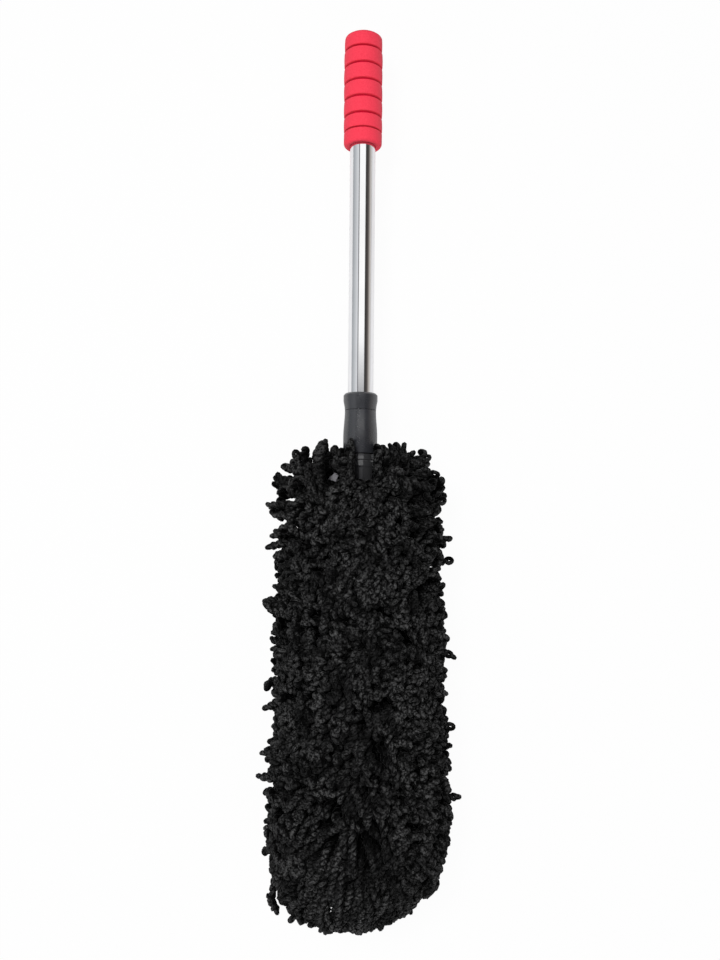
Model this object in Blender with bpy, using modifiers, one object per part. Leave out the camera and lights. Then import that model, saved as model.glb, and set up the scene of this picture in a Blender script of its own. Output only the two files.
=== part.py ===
"""Car duster: a telescoping steel pole with a ringed foam grip, a twist lock, and a strand mop head on a frame.

The duster lies on its strands. X runs across it, Y along the pole towards the grip, and Z up.
The origin is on the surface that it lies on, under the middle of the whole length.
"""

import math
import random

import bmesh
import bpy
from mathutils import Vector

# Clearances
GAP = 0.0003
CUT_MARGIN = 0.002

# Pole
OUTER_TUBE_DIAMETER = 0.022
OUTER_TUBE_WALL = 0.0004
INNER_TUBE_DIAMETER = 0.019
INNER_TUBE_WALL = 0.0004
BARE_TUBE_LENGTH = 0.2145
CLOSED_TUBE_ROOM = 0.003

# Foam grip
GRIP_DIAMETER = 0.0332
GRIP_LENGTH = 0.095
GRIP_END_THICKNESS = 0.005
GRIP_RING_COUNT = 7
GRIP_FIRST_RING = 0.0133
GRIP_LAST_RING = 0.0119
GRIP_RING_PITCH = 0.0143
GROOVE_DEPTH = 0.0026
GROOVE_WIDTH = 0.0017
GROOVE_EDGE_RADIUS = 0.0007
GRIP_EDGE_RADIUS = 0.003
GRIP_MOUTH_DEPTH = 0.0015
GRIP_MOUTH_EASE = 0.0012

# End plug of the outer tube
PLUG_HEAD_LENGTH = 0.0025
PLUG_SPIGOT_LENGTH = 0.014
PLUG_WALL = 0.0016

# Guide plug on the end of the inner tube
GUIDE_HEAD_LENGTH = 0.018
GUIDE_SPIGOT_LENGTH = 0.012
GUIDE_WALL = 0.0018
GUIDE_GROOVE_DEPTH = 0.0006
GUIDE_GROOVE_WIDTH = 0.002

# Twist lock
LOCK_RIM_DIAMETER = 0.0296
LOCK_WAIST_DIAMETER = 0.0271
LOCK_RING_LENGTH = 0.0143
LOCK_RIM_LENGTH = 0.0065
LOCK_RIM_CHAMFER = 0.0015
SLEEVE_SHANK_LENGTH = 0.015
SLEEVE_SHANK_WALL = 0.0013
FINGER_LENGTH = 0.0145
FINGER_ROOT_WALL = 0.0025
FINGER_TIP_WALL = 0.0015
FINGER_COUNT = 6
FINGER_SLOT = 0.0016
COLLAR_LENGTH = 0.0377
COLLAR_SWELL_LENGTH = 0.023
COLLAR_RIM_CHAMFER = 0.0006
COLLAR_SWELL_STEPS = 7

# Neck
NECK_DIAMETER = 0.0242
NECK_LENGTH = 0.0226
NECK_RING_HEIGHT = 0.0006
NECK_RING_LENGTH = 0.005
NECK_RING_GROOVE = 0.0012

# Frame inside the head
FRAME_WIDTH = 0.044
FRAME_THICKNESS = 0.006
FRAME_SPINE_WALL = 0.0027
FRAME_SOCKET_DEPTH = 0.110
FRAME_SOCKET_FLOOR = 0.006
FRAME_SHOULDER_DROP = 0.012
FRAME_RAIL = 0.005
FRAME_RUNG = 0.005
FRAME_WINDOW_ROWS = 6
FRAME_WINDOW_CORNER = 0.003
FRAME_TIP_ROUND = 0.016
FRAME_TIP_STEPS = 4
SPINE_BAR_WIDTH = 0.009
PIN_DIAMETER = 0.003
PIN_DROP = 0.028
PIN_SIDES = 16

# Sleeve
SLEEVE_LENGTH = 0.317
SLEEVE_EASE = 0.0012
SLEEVE_END_DEPTH = 0.016
HEM_LENGTH = 0.006
HEM_WALL = 0.0006
ELASTIC_THICKNESS = 0.0006
LABEL_WIDTH = 0.0095
LABEL_LENGTH = 0.012
LABEL_THICKNESS = 0.0008
LABEL_SLANT = 0.00475
LABEL_SLANT_WIDTH = 0.00665
LABEL_SEAM = 0.0015
LABEL_SIDE = math.radians(152)

# Strands
BAND_COUNT = 8
ROWS_PER_BAND = 3
STRANDS_AROUND = 14
STRAND_RADIUS = 0.0042
STRAND_TIP_TAPER = 0.55
STRAND_STATIONS = (0.45, 0.88, 1.0)
STRAND_WIDTHS = (1.0, 1.0, STRAND_TIP_TAPER)
HEAD_WIDTH = 0.157
HEAD_RISE = 0.052
HEAD_DROP = 0.070
LYING_HEIGHT = 0.054
PRESS = 0.002
FLOOR_CUT = 0.0005
TIP_REACH = 0.075
MOUTH_REACH = 0.045
MOUTH_FAN = math.radians(44)
TIP_FAN = math.radians(36)
SIDE_FLOP = 0.18
ENVELOPE_POWER = 0.8
REACH_SPREAD = 0.10
SWAY = 0.0018
STRAND_SEED = 7

# Closed end of the sleeve: its rings' width, their share of its depth, and how far each row fans
END_RING_SCALES = (1.0, 0.80, 0.46)
END_RING_DEPTHS = (0.0, 0.55, 1.0)
END_ROW_FANS = (math.radians(-50), math.radians(-68))
END_CAP_FAN = math.radians(-82)
END_CAP_SPACING = 3
END_POCKET_SCALE = 0.7
FLOOR_SLAB_DEPTH = 0.05

TUBE_SIDES = 40
TURNED_SIDES = 36
GRIP_SIDES = 28

# Stations along the pole, worked out from the lengths above
GRIP_BELOW = BARE_TUBE_LENGTH + LOCK_RING_LENGTH + COLLAR_LENGTH + NECK_LENGTH + 3 * GAP
TOTAL_LENGTH = GRIP_LENGTH + GRIP_BELOW + SLEEVE_LENGTH + TIP_REACH
GRIP_TOP = TOTAL_LENGTH / 2
GRIP_BOTTOM = GRIP_TOP - GRIP_LENGTH
LOCK_TOP = GRIP_BOTTOM - BARE_TUBE_LENGTH
RING_BOTTOM = LOCK_TOP - LOCK_RING_LENGTH
COLLAR_TOP = RING_BOTTOM - GAP
COLLAR_BOTTOM = COLLAR_TOP - COLLAR_LENGTH
NECK_TOP = COLLAR_BOTTOM - GAP
NECK_BOTTOM = NECK_TOP - NECK_LENGTH
SLEEVE_MOUTH = NECK_BOTTOM - GAP
SLEEVE_END = SLEEVE_MOUTH - SLEEVE_LENGTH
HEAD_TIP = -TOTAL_LENGTH / 2

OUTER_RADIUS = OUTER_TUBE_DIAMETER / 2
OUTER_BORE = OUTER_RADIUS - OUTER_TUBE_WALL
INNER_RADIUS = INNER_TUBE_DIAMETER / 2
INNER_BORE = INNER_RADIUS - INNER_TUBE_WALL
RUNNING_BORE = INNER_RADIUS + GAP
PLUG_TOP = GRIP_TOP - GRIP_END_THICKNESS - GAP
OUTER_TUBE_TOP = PLUG_TOP - PLUG_HEAD_LENGTH - GAP
SHANK_BOTTOM = RING_BOTTOM - SLEEVE_SHANK_LENGTH
OUTER_TUBE_BOTTOM = SHANK_BOTTOM + GAP
GUIDE_TOP = OUTER_TUBE_TOP - PLUG_SPIGOT_LENGTH - CLOSED_TUBE_ROOM
INNER_TUBE_TOP = GUIDE_TOP - GUIDE_HEAD_LENGTH - GAP
SPINE_RADIUS = RUNNING_BORE + FRAME_SPINE_WALL
SOCKET_BOTTOM = SLEEVE_MOUTH - FRAME_SOCKET_DEPTH
PIN_STATION = SLEEVE_MOUTH - PIN_DROP

# Oval section of the sleeve, whose flats clear the frame
FLAT_SHARE = math.cos(math.pi / STRANDS_AROUND)
BORE_HALF_WIDTH = (FRAME_WIDTH / 2 + SLEEVE_EASE) / FLAT_SHARE
BORE_HALF_HEIGHT = (SPINE_RADIUS + GAP) / FLAT_SHARE
SLEEVE_THICKNESS = 2 * (HEM_WALL + GAP) + ELASTIC_THICKNESS
BACKING_HALF_WIDTH = BORE_HALF_WIDTH + SLEEVE_THICKNESS
BACKING_HALF_HEIGHT = BORE_HALF_HEIGHT + SLEEVE_THICKNESS
BANDS_TOP = SLEEVE_MOUTH - HEM_LENGTH - GAP
BANDS_BOTTOM = SLEEVE_END + SLEEVE_END_DEPTH
ROW_COUNT = BAND_COUNT * ROWS_PER_BAND
ROW_HEIGHT = (BANDS_TOP - BANDS_BOTTOM) / ROW_COUNT


def clear_scene():
    for existing in list(bpy.data.objects):
        bpy.data.objects.remove(existing, do_unlink=True)


def new_collection(name):
    collection = bpy.data.collections.new(name)
    bpy.context.scene.collection.children.link(collection)
    return collection


def make_material(name, colour, roughness, metallic=0.0):
    material = bpy.data.materials.new(name)
    material.use_nodes = True
    shader = material.node_tree.nodes["Principled BSDF"]
    shader.inputs["Base Color"].default_value = (*colour, 1.0)
    shader.inputs["Roughness"].default_value = roughness
    shader.inputs["Metallic"].default_value = metallic
    material.diffuse_color = (*colour, 1.0)
    return material


def add_object(name, data, material, collection, parent, turned=False):
    """An object on the pole's axis. A turned one has its own Z along the pole."""
    thing = bpy.data.objects.new(name, data)
    if material is not None:
        data.materials.append(material)
    if turned:
        thing.rotation_euler = (-math.pi / 2, 0, 0)
    thing.parent = parent
    collection.objects.link(thing)
    return thing


def add_joint_frame(name, collection, parent=None):
    """An empty on the pole's axis, which carries the pieces of one moving body."""
    empty = bpy.data.objects.new(name, None)
    empty.empty_display_size = 0.03
    empty.parent = parent
    if parent is None:
        empty.location = (0, 0, LYING_HEIGHT)
    collection.objects.link(empty)
    return empty


def add_boolean(target, cutter, operation="DIFFERENCE"):
    modifier = target.modifiers.new(operation.lower(), "BOOLEAN")
    modifier.operation = operation
    modifier.solver = "EXACT"
    modifier.object = cutter


def hide_cutter(cutter):
    cutter.hide_render = True
    cutter.display_type = "WIRE"


def turn(name, profile, sides, material, collection, parent, closed=True):
    """Turns a profile of (radius, station) points, which runs down its outer side first."""
    mesh = bpy.data.meshes.new(name)
    edges = [(i, i + 1) for i in range(len(profile) - 1)]
    if closed:
        edges.append((len(profile) - 1, 0))
    mesh.from_pydata([(radius, 0, station) for radius, station in profile], edges, [])
    piece = add_object(name, mesh, material, collection, parent, turned=True)
    screw = piece.modifiers.new("turn", "SCREW")
    screw.axis = "Z"
    screw.angle = 2 * math.pi
    screw.steps = sides
    screw.render_steps = sides
    screw.use_merge_vertices = True
    screw.merge_threshold = 0.00001
    screw.use_smooth_shade = True
    return piece


def arc(centre_radius, centre_station, radius, start, end, steps):
    """Points of an arc in a profile, from the start angle to the end angle, in degrees."""
    points = []
    for i in range(steps + 1):
        angle = math.radians(start + (end - start) * i / steps)
        points.append((centre_radius + radius * math.cos(angle), centre_station + radius * math.sin(angle)))
    return points


def make_foam_grip(material, collection, parent):
    radius = GRIP_DIAMETER / 2
    floor = radius - GROOVE_DEPTH
    bore = OUTER_RADIUS + GAP
    profile = [(0, GRIP_TOP)]
    profile += arc(radius - GRIP_EDGE_RADIUS, GRIP_TOP - GRIP_EDGE_RADIUS, GRIP_EDGE_RADIUS, 90, 0, 3)
    for ring in range(GRIP_RING_COUNT - 1):
        groove = GRIP_TOP - GRIP_FIRST_RING - ring * GRIP_RING_PITCH
        if ring == GRIP_RING_COUNT - 2:
            groove = GRIP_BOTTOM + GRIP_LAST_RING
        high, low = groove + GROOVE_WIDTH / 2, groove - GROOVE_WIDTH / 2
        profile += arc(radius - GROOVE_EDGE_RADIUS, high + GROOVE_EDGE_RADIUS, GROOVE_EDGE_RADIUS, 0, -90, 2)
        profile += [(floor, high), (floor, low)]
        profile += arc(radius - GROOVE_EDGE_RADIUS, low - GROOVE_EDGE_RADIUS, GROOVE_EDGE_RADIUS, 90, 0, 2)
    profile += arc(radius - GRIP_EDGE_RADIUS, GRIP_BOTTOM + GRIP_EDGE_RADIUS, GRIP_EDGE_RADIUS, 0, -90, 3)
    profile += [
        (bore + GRIP_MOUTH_EASE, GRIP_BOTTOM),
        (bore, GRIP_BOTTOM + GRIP_MOUTH_DEPTH),
        (bore, GRIP_TOP - GRIP_END_THICKNESS),
        (0, GRIP_TOP - GRIP_END_THICKNESS),
    ]
    return turn("foam_grip", profile, GRIP_SIDES, material, collection, parent, closed=False)


def make_outer_tube(material, collection, parent):
    profile = [
        (OUTER_RADIUS, OUTER_TUBE_TOP),
        (OUTER_RADIUS, OUTER_TUBE_BOTTOM),
        (OUTER_BORE, OUTER_TUBE_BOTTOM),
        (OUTER_BORE, OUTER_TUBE_TOP),
    ]
    return turn("outer_tube", profile, TUBE_SIDES, material, collection, parent)


def make_end_plug(material, collection, parent):
    """A cup-shaped plug, whose head closes the outer tube under the grip's end."""
    spigot = OUTER_BORE - GAP
    bottom = OUTER_TUBE_TOP - PLUG_SPIGOT_LENGTH
    profile = [
        (0, PLUG_TOP),
        (OUTER_RADIUS, PLUG_TOP),
        (OUTER_RADIUS, PLUG_TOP - PLUG_HEAD_LENGTH),
        (spigot, PLUG_TOP - PLUG_HEAD_LENGTH),
        (spigot, bottom),
        (spigot - PLUG_WALL, bottom),
        (spigot - PLUG_WALL, PLUG_TOP - PLUG_HEAD_LENGTH),
        (0, PLUG_TOP - PLUG_HEAD_LENGTH),
    ]
    return turn("tube_end_plug", profile, TURNED_SIDES, material, collection, parent, closed=False)


def make_guide_plug(material, collection, parent):
    """The plug on the inner tube's end, which slides in the outer tube and stops at the lock."""
    head = OUTER_BORE - GAP
    spigot = INNER_BORE - GAP
    top = GUIDE_TOP
    shoulder = GUIDE_TOP - GUIDE_HEAD_LENGTH
    groove = (top + shoulder) / 2
    profile = [
        (head - GUIDE_GROOVE_DEPTH, top),
        (head, top - GUIDE_GROOVE_DEPTH),
        (head, groove + GUIDE_GROOVE_WIDTH / 2),
        (head - GUIDE_GROOVE_DEPTH, groove + GUIDE_GROOVE_WIDTH / 2),
        (head - GUIDE_GROOVE_DEPTH, groove - GUIDE_GROOVE_WIDTH / 2),
        (head, groove - GUIDE_GROOVE_WIDTH / 2),
        (head, shoulder),
        (spigot, shoulder),
        (spigot, shoulder - GUIDE_SPIGOT_LENGTH),
        (spigot - GUIDE_WALL, shoulder - GUIDE_SPIGOT_LENGTH),
        (spigot - GUIDE_WALL, top),
    ]
    return turn("guide_plug", profile, TURNED_SIDES, material, collection, parent)


def make_radial_slots(name, count, width, reach, low, high, collection, parent):
    """Crossed bars through the axis, joined in one cutter, which leave count fingers."""
    mesh = bpy.data.meshes.new(name)
    bm = bmesh.new()
    bmesh.ops.create_cube(bm, size=1)
    bmesh.ops.scale(bm, vec=(2 * reach, width, high - low), verts=bm.verts)
    bmesh.ops.translate(bm, vec=(0, 0, (low + high) / 2), verts=bm.verts)
    bm.to_mesh(mesh)
    bm.free()
    cutters = []
    for i in range(count // 2):
        bar = add_object(f"{name}_{i + 1}", mesh, None, collection, parent, turned=True)
        bar.rotation_euler = (-math.pi / 2, 2 * math.pi * i / count, 0)
        hide_cutter(bar)
        cutters.append(bar)
    return cutters


def make_lock_base(material, collection, cutters, parent):
    """The ring on the outer tube's end, with the split fingers that clamp the inner tube."""
    rim = LOCK_RIM_DIAMETER / 2
    waist = LOCK_WAIST_DIAMETER / 2
    seat = OUTER_RADIUS + GAP
    shank = seat + SLEEVE_SHANK_WALL
    finger_bottom = SHANK_BOTTOM - FINGER_LENGTH
    profile = [
        (rim - LOCK_RIM_CHAMFER, LOCK_TOP),
        (rim, LOCK_TOP - LOCK_RIM_CHAMFER),
        (rim, LOCK_TOP - LOCK_RIM_LENGTH),
        ((rim + 2 * waist) / 3, (LOCK_TOP - LOCK_RIM_LENGTH + RING_BOTTOM) / 2),
        (waist, RING_BOTTOM),
        (shank, RING_BOTTOM),
        (shank, SHANK_BOTTOM),
        (RUNNING_BORE + FINGER_ROOT_WALL, SHANK_BOTTOM),
        (RUNNING_BORE + FINGER_TIP_WALL, finger_bottom),
        (RUNNING_BORE, finger_bottom),
        (RUNNING_BORE, SHANK_BOTTOM),
        (seat, SHANK_BOTTOM),
        (seat, LOCK_TOP),
    ]
    base = turn("lock_base", profile, TURNED_SIDES, material, collection, parent)
    slots = make_radial_slots(
        "finger_slot",
        FINGER_COUNT,
        FINGER_SLOT,
        shank + CUT_MARGIN,
        finger_bottom - CUT_MARGIN,
        SHANK_BOTTOM - FINGER_ROOT_WALL,
        cutters,
        parent,
    )
    for slot in slots:
        add_boolean(base, slot)
    return base


def collar_radius(share):
    """The collar's outer radius, from its waist at 0 to its full width at 1."""
    waist = LOCK_WAIST_DIAMETER / 2
    rim = LOCK_RIM_DIAMETER / 2
    return waist + (rim - waist) * (1 - math.cos(math.pi * share)) / 2


def make_lock_collar(material, collection, parent):
    """The turning collar, whose inner cone closes the fingers on the inner tube."""
    rim = LOCK_RIM_DIAMETER / 2
    bore = OUTER_RADIUS + GAP + SLEEVE_SHANK_WALL + GAP
    finger_bottom = SHANK_BOTTOM - FINGER_LENGTH
    profile = []
    for i in range(COLLAR_SWELL_STEPS + 1):
        share = i / COLLAR_SWELL_STEPS
        profile.append((collar_radius(share), COLLAR_TOP - share * COLLAR_SWELL_LENGTH))
    profile += [
        (rim, COLLAR_BOTTOM + COLLAR_RIM_CHAMFER),
        (rim - COLLAR_RIM_CHAMFER, COLLAR_BOTTOM),
        (RUNNING_BORE, COLLAR_BOTTOM),
        (RUNNING_BORE, finger_bottom - GAP),
        (RUNNING_BORE + FINGER_TIP_WALL + GAP, finger_bottom - GAP),
        (RUNNING_BORE + FINGER_ROOT_WALL + GAP, SHANK_BOTTOM - GAP),
        (bore, SHANK_BOTTOM - GAP),
        (bore, COLLAR_TOP),
    ]
    return turn("lock_collar", profile, TURNED_SIDES, material, collection, parent)


def upright_rod(name, radius, length):
    """The mesh of a round rod along Z, centred on its own origin."""
    mesh = bpy.data.meshes.new(name)
    bm = bmesh.new()
    bmesh.ops.create_cone(bm, cap_ends=True, segments=PIN_SIDES, radius1=radius, radius2=radius, depth=length)
    bm.to_mesh(mesh)
    bm.free()
    return mesh


def make_cross_pin_cutter(collection, parent):
    """The hole for the pin that crosses the socket and the inner tube."""
    mesh = upright_rod("pin_hole", PIN_DIAMETER / 2 + GAP, 2 * (SPINE_RADIUS + CUT_MARGIN))
    hole = add_object("pin_hole", mesh, None, collection, parent)
    hole.location = (0, PIN_STATION, 0)
    hide_cutter(hole)
    return hole


def make_frame_pin(material, collection, parent):
    mesh = upright_rod("frame_pin", PIN_DIAMETER / 2, 2 * (SPINE_RADIUS - GAP))
    pin = add_object("frame_pin", mesh, material, collection, parent)
    pin.location = (0, PIN_STATION, 0)
    return pin


def make_inner_tube(material, collection, parent, pin_hole):
    bottom = SOCKET_BOTTOM + GAP
    profile = [
        (INNER_RADIUS, INNER_TUBE_TOP),
        (INNER_RADIUS, bottom),
        (INNER_BORE, bottom),
        (INNER_BORE, INNER_TUBE_TOP),
    ]
    tube = turn("inner_tube", profile, TUBE_SIDES, material, collection, parent)
    add_boolean(tube, pin_hole)
    return tube


def make_neck(material, collection, parent):
    """The moulded ferrule between the lock and the head, with two raised rings."""
    body = NECK_DIAMETER / 2
    ring = body + NECK_RING_HEIGHT
    second = NECK_TOP - NECK_RING_LENGTH - NECK_RING_GROOVE
    profile = [
        (ring, NECK_TOP),
        (ring, NECK_TOP - NECK_RING_LENGTH),
        (body, NECK_TOP - NECK_RING_LENGTH),
        (body, second),
        (ring, second),
        (ring, second - NECK_RING_LENGTH),
        (body, second - NECK_RING_LENGTH - NECK_RING_HEIGHT),
        (body, NECK_BOTTOM),
        (RUNNING_BORE, NECK_BOTTOM),
        (RUNNING_BORE, NECK_TOP),
    ]
    return turn("neck_ferrule", profile, TURNED_SIDES, material, collection, parent)


def add_flat_loop(curve, points):
    spline = curve.splines.new("POLY")
    spline.points.add(len(points) - 1)
    for point, (x, y) in zip(spline.points, points):
        point.co = (x, y, 0, 1)
    spline.use_cyclic_u = True


def chamfered_window(left, right, low, high, corner):
    return [
        (left + corner, low),
        (right - corner, low),
        (right, low + corner),
        (right, high - corner),
        (right - corner, high),
        (left + corner, high),
        (left, high - corner),
        (left, low + corner),
    ]


def frame_outline(half_width, top, bottom):
    """The frame's outline: sloping shoulders at the socket and a round far end."""
    spine = SPINE_RADIUS
    outline = [(-spine, top), (-half_width, top - FRAME_SHOULDER_DROP)]
    for i in range(FRAME_TIP_STEPS + 1):
        angle = math.pi + math.pi / 2 * i / FRAME_TIP_STEPS
        outline.append(
            (
                -half_width + FRAME_TIP_ROUND * (1 + math.cos(angle)),
                bottom + FRAME_TIP_ROUND * (1 + math.sin(angle)),
            )
        )
    mirrored = [(-x, y) for x, y in reversed(outline)]
    return outline + mirrored


def make_head_frame(material, collection, cutters, parent, pin_hole):
    """A ladder frame, fused to the round socket that takes the inner tube."""
    half_width = FRAME_WIDTH / 2
    top = SLEEVE_MOUTH - HEM_LENGTH
    bottom = BANDS_BOTTOM + GAP
    windows_top = SOCKET_BOTTOM - FRAME_SOCKET_FLOOR
    windows_bottom = bottom + FRAME_TIP_ROUND
    pitch = (windows_top - windows_bottom) / FRAME_WINDOW_ROWS
    curve = bpy.data.curves.new("head_frame_outline", "CURVE")
    curve.dimensions = "2D"
    curve.fill_mode = "BOTH"
    curve.extrude = FRAME_THICKNESS / 2
    add_flat_loop(curve, frame_outline(half_width, top, bottom))
    for row in range(FRAME_WINDOW_ROWS):
        low = windows_bottom + row * pitch
        high = low + pitch - FRAME_RUNG
        inside = SPINE_BAR_WIDTH / 2
        outside = half_width - FRAME_RAIL
        add_flat_loop(curve, chamfered_window(inside, outside, low, high, FRAME_WINDOW_CORNER))
        add_flat_loop(curve, chamfered_window(-outside, -inside, low, high, FRAME_WINDOW_CORNER))
    flat = bpy.data.objects.new("head_frame_flat", curve)
    collection.objects.link(flat)
    bpy.context.view_layer.update()
    evaluated = flat.evaluated_get(bpy.context.evaluated_depsgraph_get())
    mesh = bpy.data.meshes.new_from_object(evaluated)
    mesh.name = "head_frame"
    bpy.data.objects.remove(flat, do_unlink=True)
    bm = bmesh.new()
    bm.from_mesh(mesh)
    bmesh.ops.remove_doubles(bm, verts=bm.verts, dist=0.000001)
    bm.to_mesh(mesh)
    bm.free()
    frame = add_object("head_frame", mesh, material, collection, parent)
    spine_bottom = SOCKET_BOTTOM - FRAME_SOCKET_FLOOR
    spine_profile = [
        (0, SLEEVE_MOUTH),
        (SPINE_RADIUS, SLEEVE_MOUTH),
        (SPINE_RADIUS, SOCKET_BOTTOM),
        (SPINE_BAR_WIDTH / 2, spine_bottom),
        (0, spine_bottom),
    ]
    spine = turn("spine_body", spine_profile, TURNED_SIDES, None, cutters, parent, closed=False)
    socket_profile = [
        (0, SLEEVE_MOUTH + CUT_MARGIN),
        (RUNNING_BORE, SLEEVE_MOUTH + CUT_MARGIN),
        (RUNNING_BORE, SOCKET_BOTTOM),
        (0, SOCKET_BOTTOM),
    ]
    socket = turn("socket_bore", socket_profile, TURNED_SIDES, None, cutters, parent, closed=False)
    hide_cutter(spine)
    hide_cutter(socket)
    add_boolean(frame, spine, "UNION")
    add_boolean(frame, socket)
    add_boolean(frame, pin_hole)
    return frame


def oval_ring(bm, half_width, half_height, station, count, shift=0.0):
    ring = []
    for i in range(count):
        angle = 2 * math.pi * (i + shift) / count
        ring.append(bm.verts.new((half_width * math.cos(angle), station, half_height * math.sin(angle))))
    return ring


def sweep_oval(name, profile, count, material, collection, parent):
    """Sweeps a closed profile of (offset from the bore, station) points round the sleeve's oval."""
    mesh = bpy.data.meshes.new(name)
    bm = bmesh.new()
    rings = [
        oval_ring(bm, BORE_HALF_WIDTH + offset, BORE_HALF_HEIGHT + offset, station, count)
        for offset, station in profile
    ]
    for near, far in zip(rings, rings[1:] + rings[:1]):
        for i in range(count):
            after = (i + 1) % count
            bm.faces.new((near[i], near[after], far[after], far[i]))
    bmesh.ops.recalc_face_normals(bm, faces=bm.faces)
    bm.to_mesh(mesh)
    bm.free()
    return add_object(name, mesh, material, collection, parent)


def make_sleeve_hem(material, collection, parent):
    """The folded tape at the sleeve's mouth, whose channel holds the elastic."""
    outside = SLEEVE_THICKNESS
    low = SLEEVE_MOUTH - HEM_LENGTH
    fold = SLEEVE_MOUTH - HEM_WALL
    profile = [
        (0, low),
        (0, SLEEVE_MOUTH),
        (outside, SLEEVE_MOUTH),
        (outside, low),
        (outside - HEM_WALL, low),
        (outside - HEM_WALL, fold),
        (HEM_WALL, fold),
        (HEM_WALL, low),
    ]
    return sweep_oval("sleeve_hem", profile, 2 * STRANDS_AROUND, material, collection, parent)


def make_hem_elastic(material, collection, parent):
    near = HEM_WALL + GAP
    far = near + ELASTIC_THICKNESS
    low = SLEEVE_MOUTH - HEM_LENGTH
    high = SLEEVE_MOUTH - HEM_WALL - GAP
    profile = [(near, low), (near, high), (far, high), (far, low)]
    return sweep_oval("hem_elastic", profile, 2 * STRANDS_AROUND, material, collection, parent)


def make_care_label(material, collection, parent):
    """The folded label at the mouth, cut to a slant, which stands on the hem's outer face."""
    offset = SLEEVE_THICKNESS + 2 * GAP
    place = Vector(
        (
            (BORE_HALF_WIDTH + offset) * math.cos(LABEL_SIDE),
            SLEEVE_MOUTH - LABEL_SEAM,
            (BORE_HALF_HEIGHT + offset) * math.sin(LABEL_SIDE),
        )
    )
    outward = Vector((math.cos(LABEL_SIDE) / BORE_HALF_WIDTH, 0, math.sin(LABEL_SIDE) / BORE_HALF_HEIGHT))
    curve = bpy.data.curves.new("care_label", "CURVE")
    curve.dimensions = "2D"
    curve.fill_mode = "BOTH"
    curve.extrude = LABEL_THICKNESS / 2
    half = LABEL_WIDTH / 2
    outline = [
        (-half, 0),
        (half, 0),
        (half, LABEL_LENGTH),
        (LABEL_SLANT_WIDTH - half, LABEL_LENGTH),
        (-half, LABEL_SLANT),
    ]
    add_flat_loop(curve, outline)
    label = add_object("care_label", curve, material, collection, parent)
    tilt = math.atan2(outward.x, outward.z)
    label.rotation_euler = (0, tilt, 0)
    label.location = place + outward.normalized() * LABEL_THICKNESS / 2
    return label


def signed_power(value, power):
    return math.copysign(abs(value) ** power, value)


def envelope_point(angle, fan, reach):
    """A point of the head's outside: round the section by angle, and fanned out of it by fan."""
    across = abs(math.cos(fan)) ** ENVELOPE_POWER
    along = signed_power(math.sin(fan), ENVELOPE_POWER)
    x = (HEAD_WIDTH / 2 + PRESS) * signed_power(math.cos(angle), ENVELOPE_POWER) * across
    reach_up = HEAD_RISE if math.sin(angle) > 0 else HEAD_DROP
    z = reach_up * signed_power(math.sin(angle), ENVELOPE_POWER) * across
    return Vector((x, reach * along, z))


def strand_path(root, fan, reach, rng):
    """The strand's points from its root: it rises off the sleeve and flops to the nearer side."""
    angle = math.atan2(root.z / BACKING_HALF_HEIGHT, root.x / BACKING_HALF_WIDTH)
    length = 1 - REACH_SPREAD * rng.random()
    sway = Vector((rng.uniform(-SWAY, SWAY), rng.uniform(-SWAY, SWAY), rng.uniform(-SWAY, SWAY)))
    path = []
    for share in STRAND_STATIONS:
        flopped = angle - SIDE_FLOP * share**2 * math.sin(2 * angle)
        outside = envelope_point(flopped, fan, reach) * length
        outside.y += root.y
        path.append(root.lerp(outside, share) + sway * share**2)
    return path


def grow_strand(bm, face, path):
    """Extrudes a face of the sleeve along the path, as a strand of three sides with a narrowed tip."""
    centre = face.calc_center_median()
    spokes = [(vertex.co - centre).normalized() for vertex in face.verts]
    before = centre
    for point, width in zip(path, STRAND_WIDTHS):
        tangent = (point - before).normalized()
        offsets = []
        for spoke in spokes:
            across = spoke - spoke.dot(tangent) * tangent
            offsets.append(across.normalized() * STRAND_RADIUS * width)
        lowest = min(offset.z for offset in offsets)
        point.z = max(point.z, -LYING_HEIGHT - FLOOR_CUT - lowest)
        face = bmesh.ops.extrude_discrete_faces(bm, faces=[face])["faces"][0]
        for vertex, offset in zip(face.verts, offsets):
            vertex.co = point + offset
            vertex.co.x = max(-HEAD_WIDTH / 2, min(HEAD_WIDTH / 2, vertex.co.x))
            vertex.co.y = max(HEAD_TIP, vertex.co.y)
        before = point.copy()


def row_station(row):
    return BANDS_TOP - row * ROW_HEIGHT


def fan_at(station):
    """How far the strands fan towards an end of the head, from none at its middle."""
    middle = (BANDS_TOP + BANDS_BOTTOM) / 2
    share = (station - middle) / ((BANDS_TOP - BANDS_BOTTOM) / 2)
    if share > 0:
        return MOUTH_FAN * share**3, MOUTH_REACH
    return TIP_FAN * share**3, TIP_REACH


def join_rows(bm, near, far, near_shifted):
    """Joins two rings of the sleeve with triangles. Returns the faces that carry strands."""
    count = len(near)
    rooted = []
    for i in range(count):
        after = (i + 1) % count
        if near_shifted:
            rooted.append(bm.faces.new((near[i], near[after], far[after])))
            bm.faces.new((far[i], near[i], far[after]))
        else:
            rooted.append(bm.faces.new((near[i], near[after], far[i])))
            bm.faces.new((far[i], near[after], far[after]))
    return rooted


def close_ring(bm, outer, inner):
    count = len(outer)
    for i in range(count):
        after = (i + 1) % count
        bm.faces.new((outer[i], outer[after], inner[after], inner[i]))


def finish_strands(bm, rooted, rng, fans):
    """Grows the strands of the faces given, and returns the mesh with its faces pointing out."""
    bmesh.ops.recalc_face_normals(bm, faces=bm.faces)
    for face, (fan, reach) in zip(rooted, fans):
        path = strand_path(face.calc_center_median(), fan, reach, rng)
        grow_strand(bm, face, path)
    bmesh.ops.recalc_face_normals(bm, faces=bm.faces)


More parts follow.
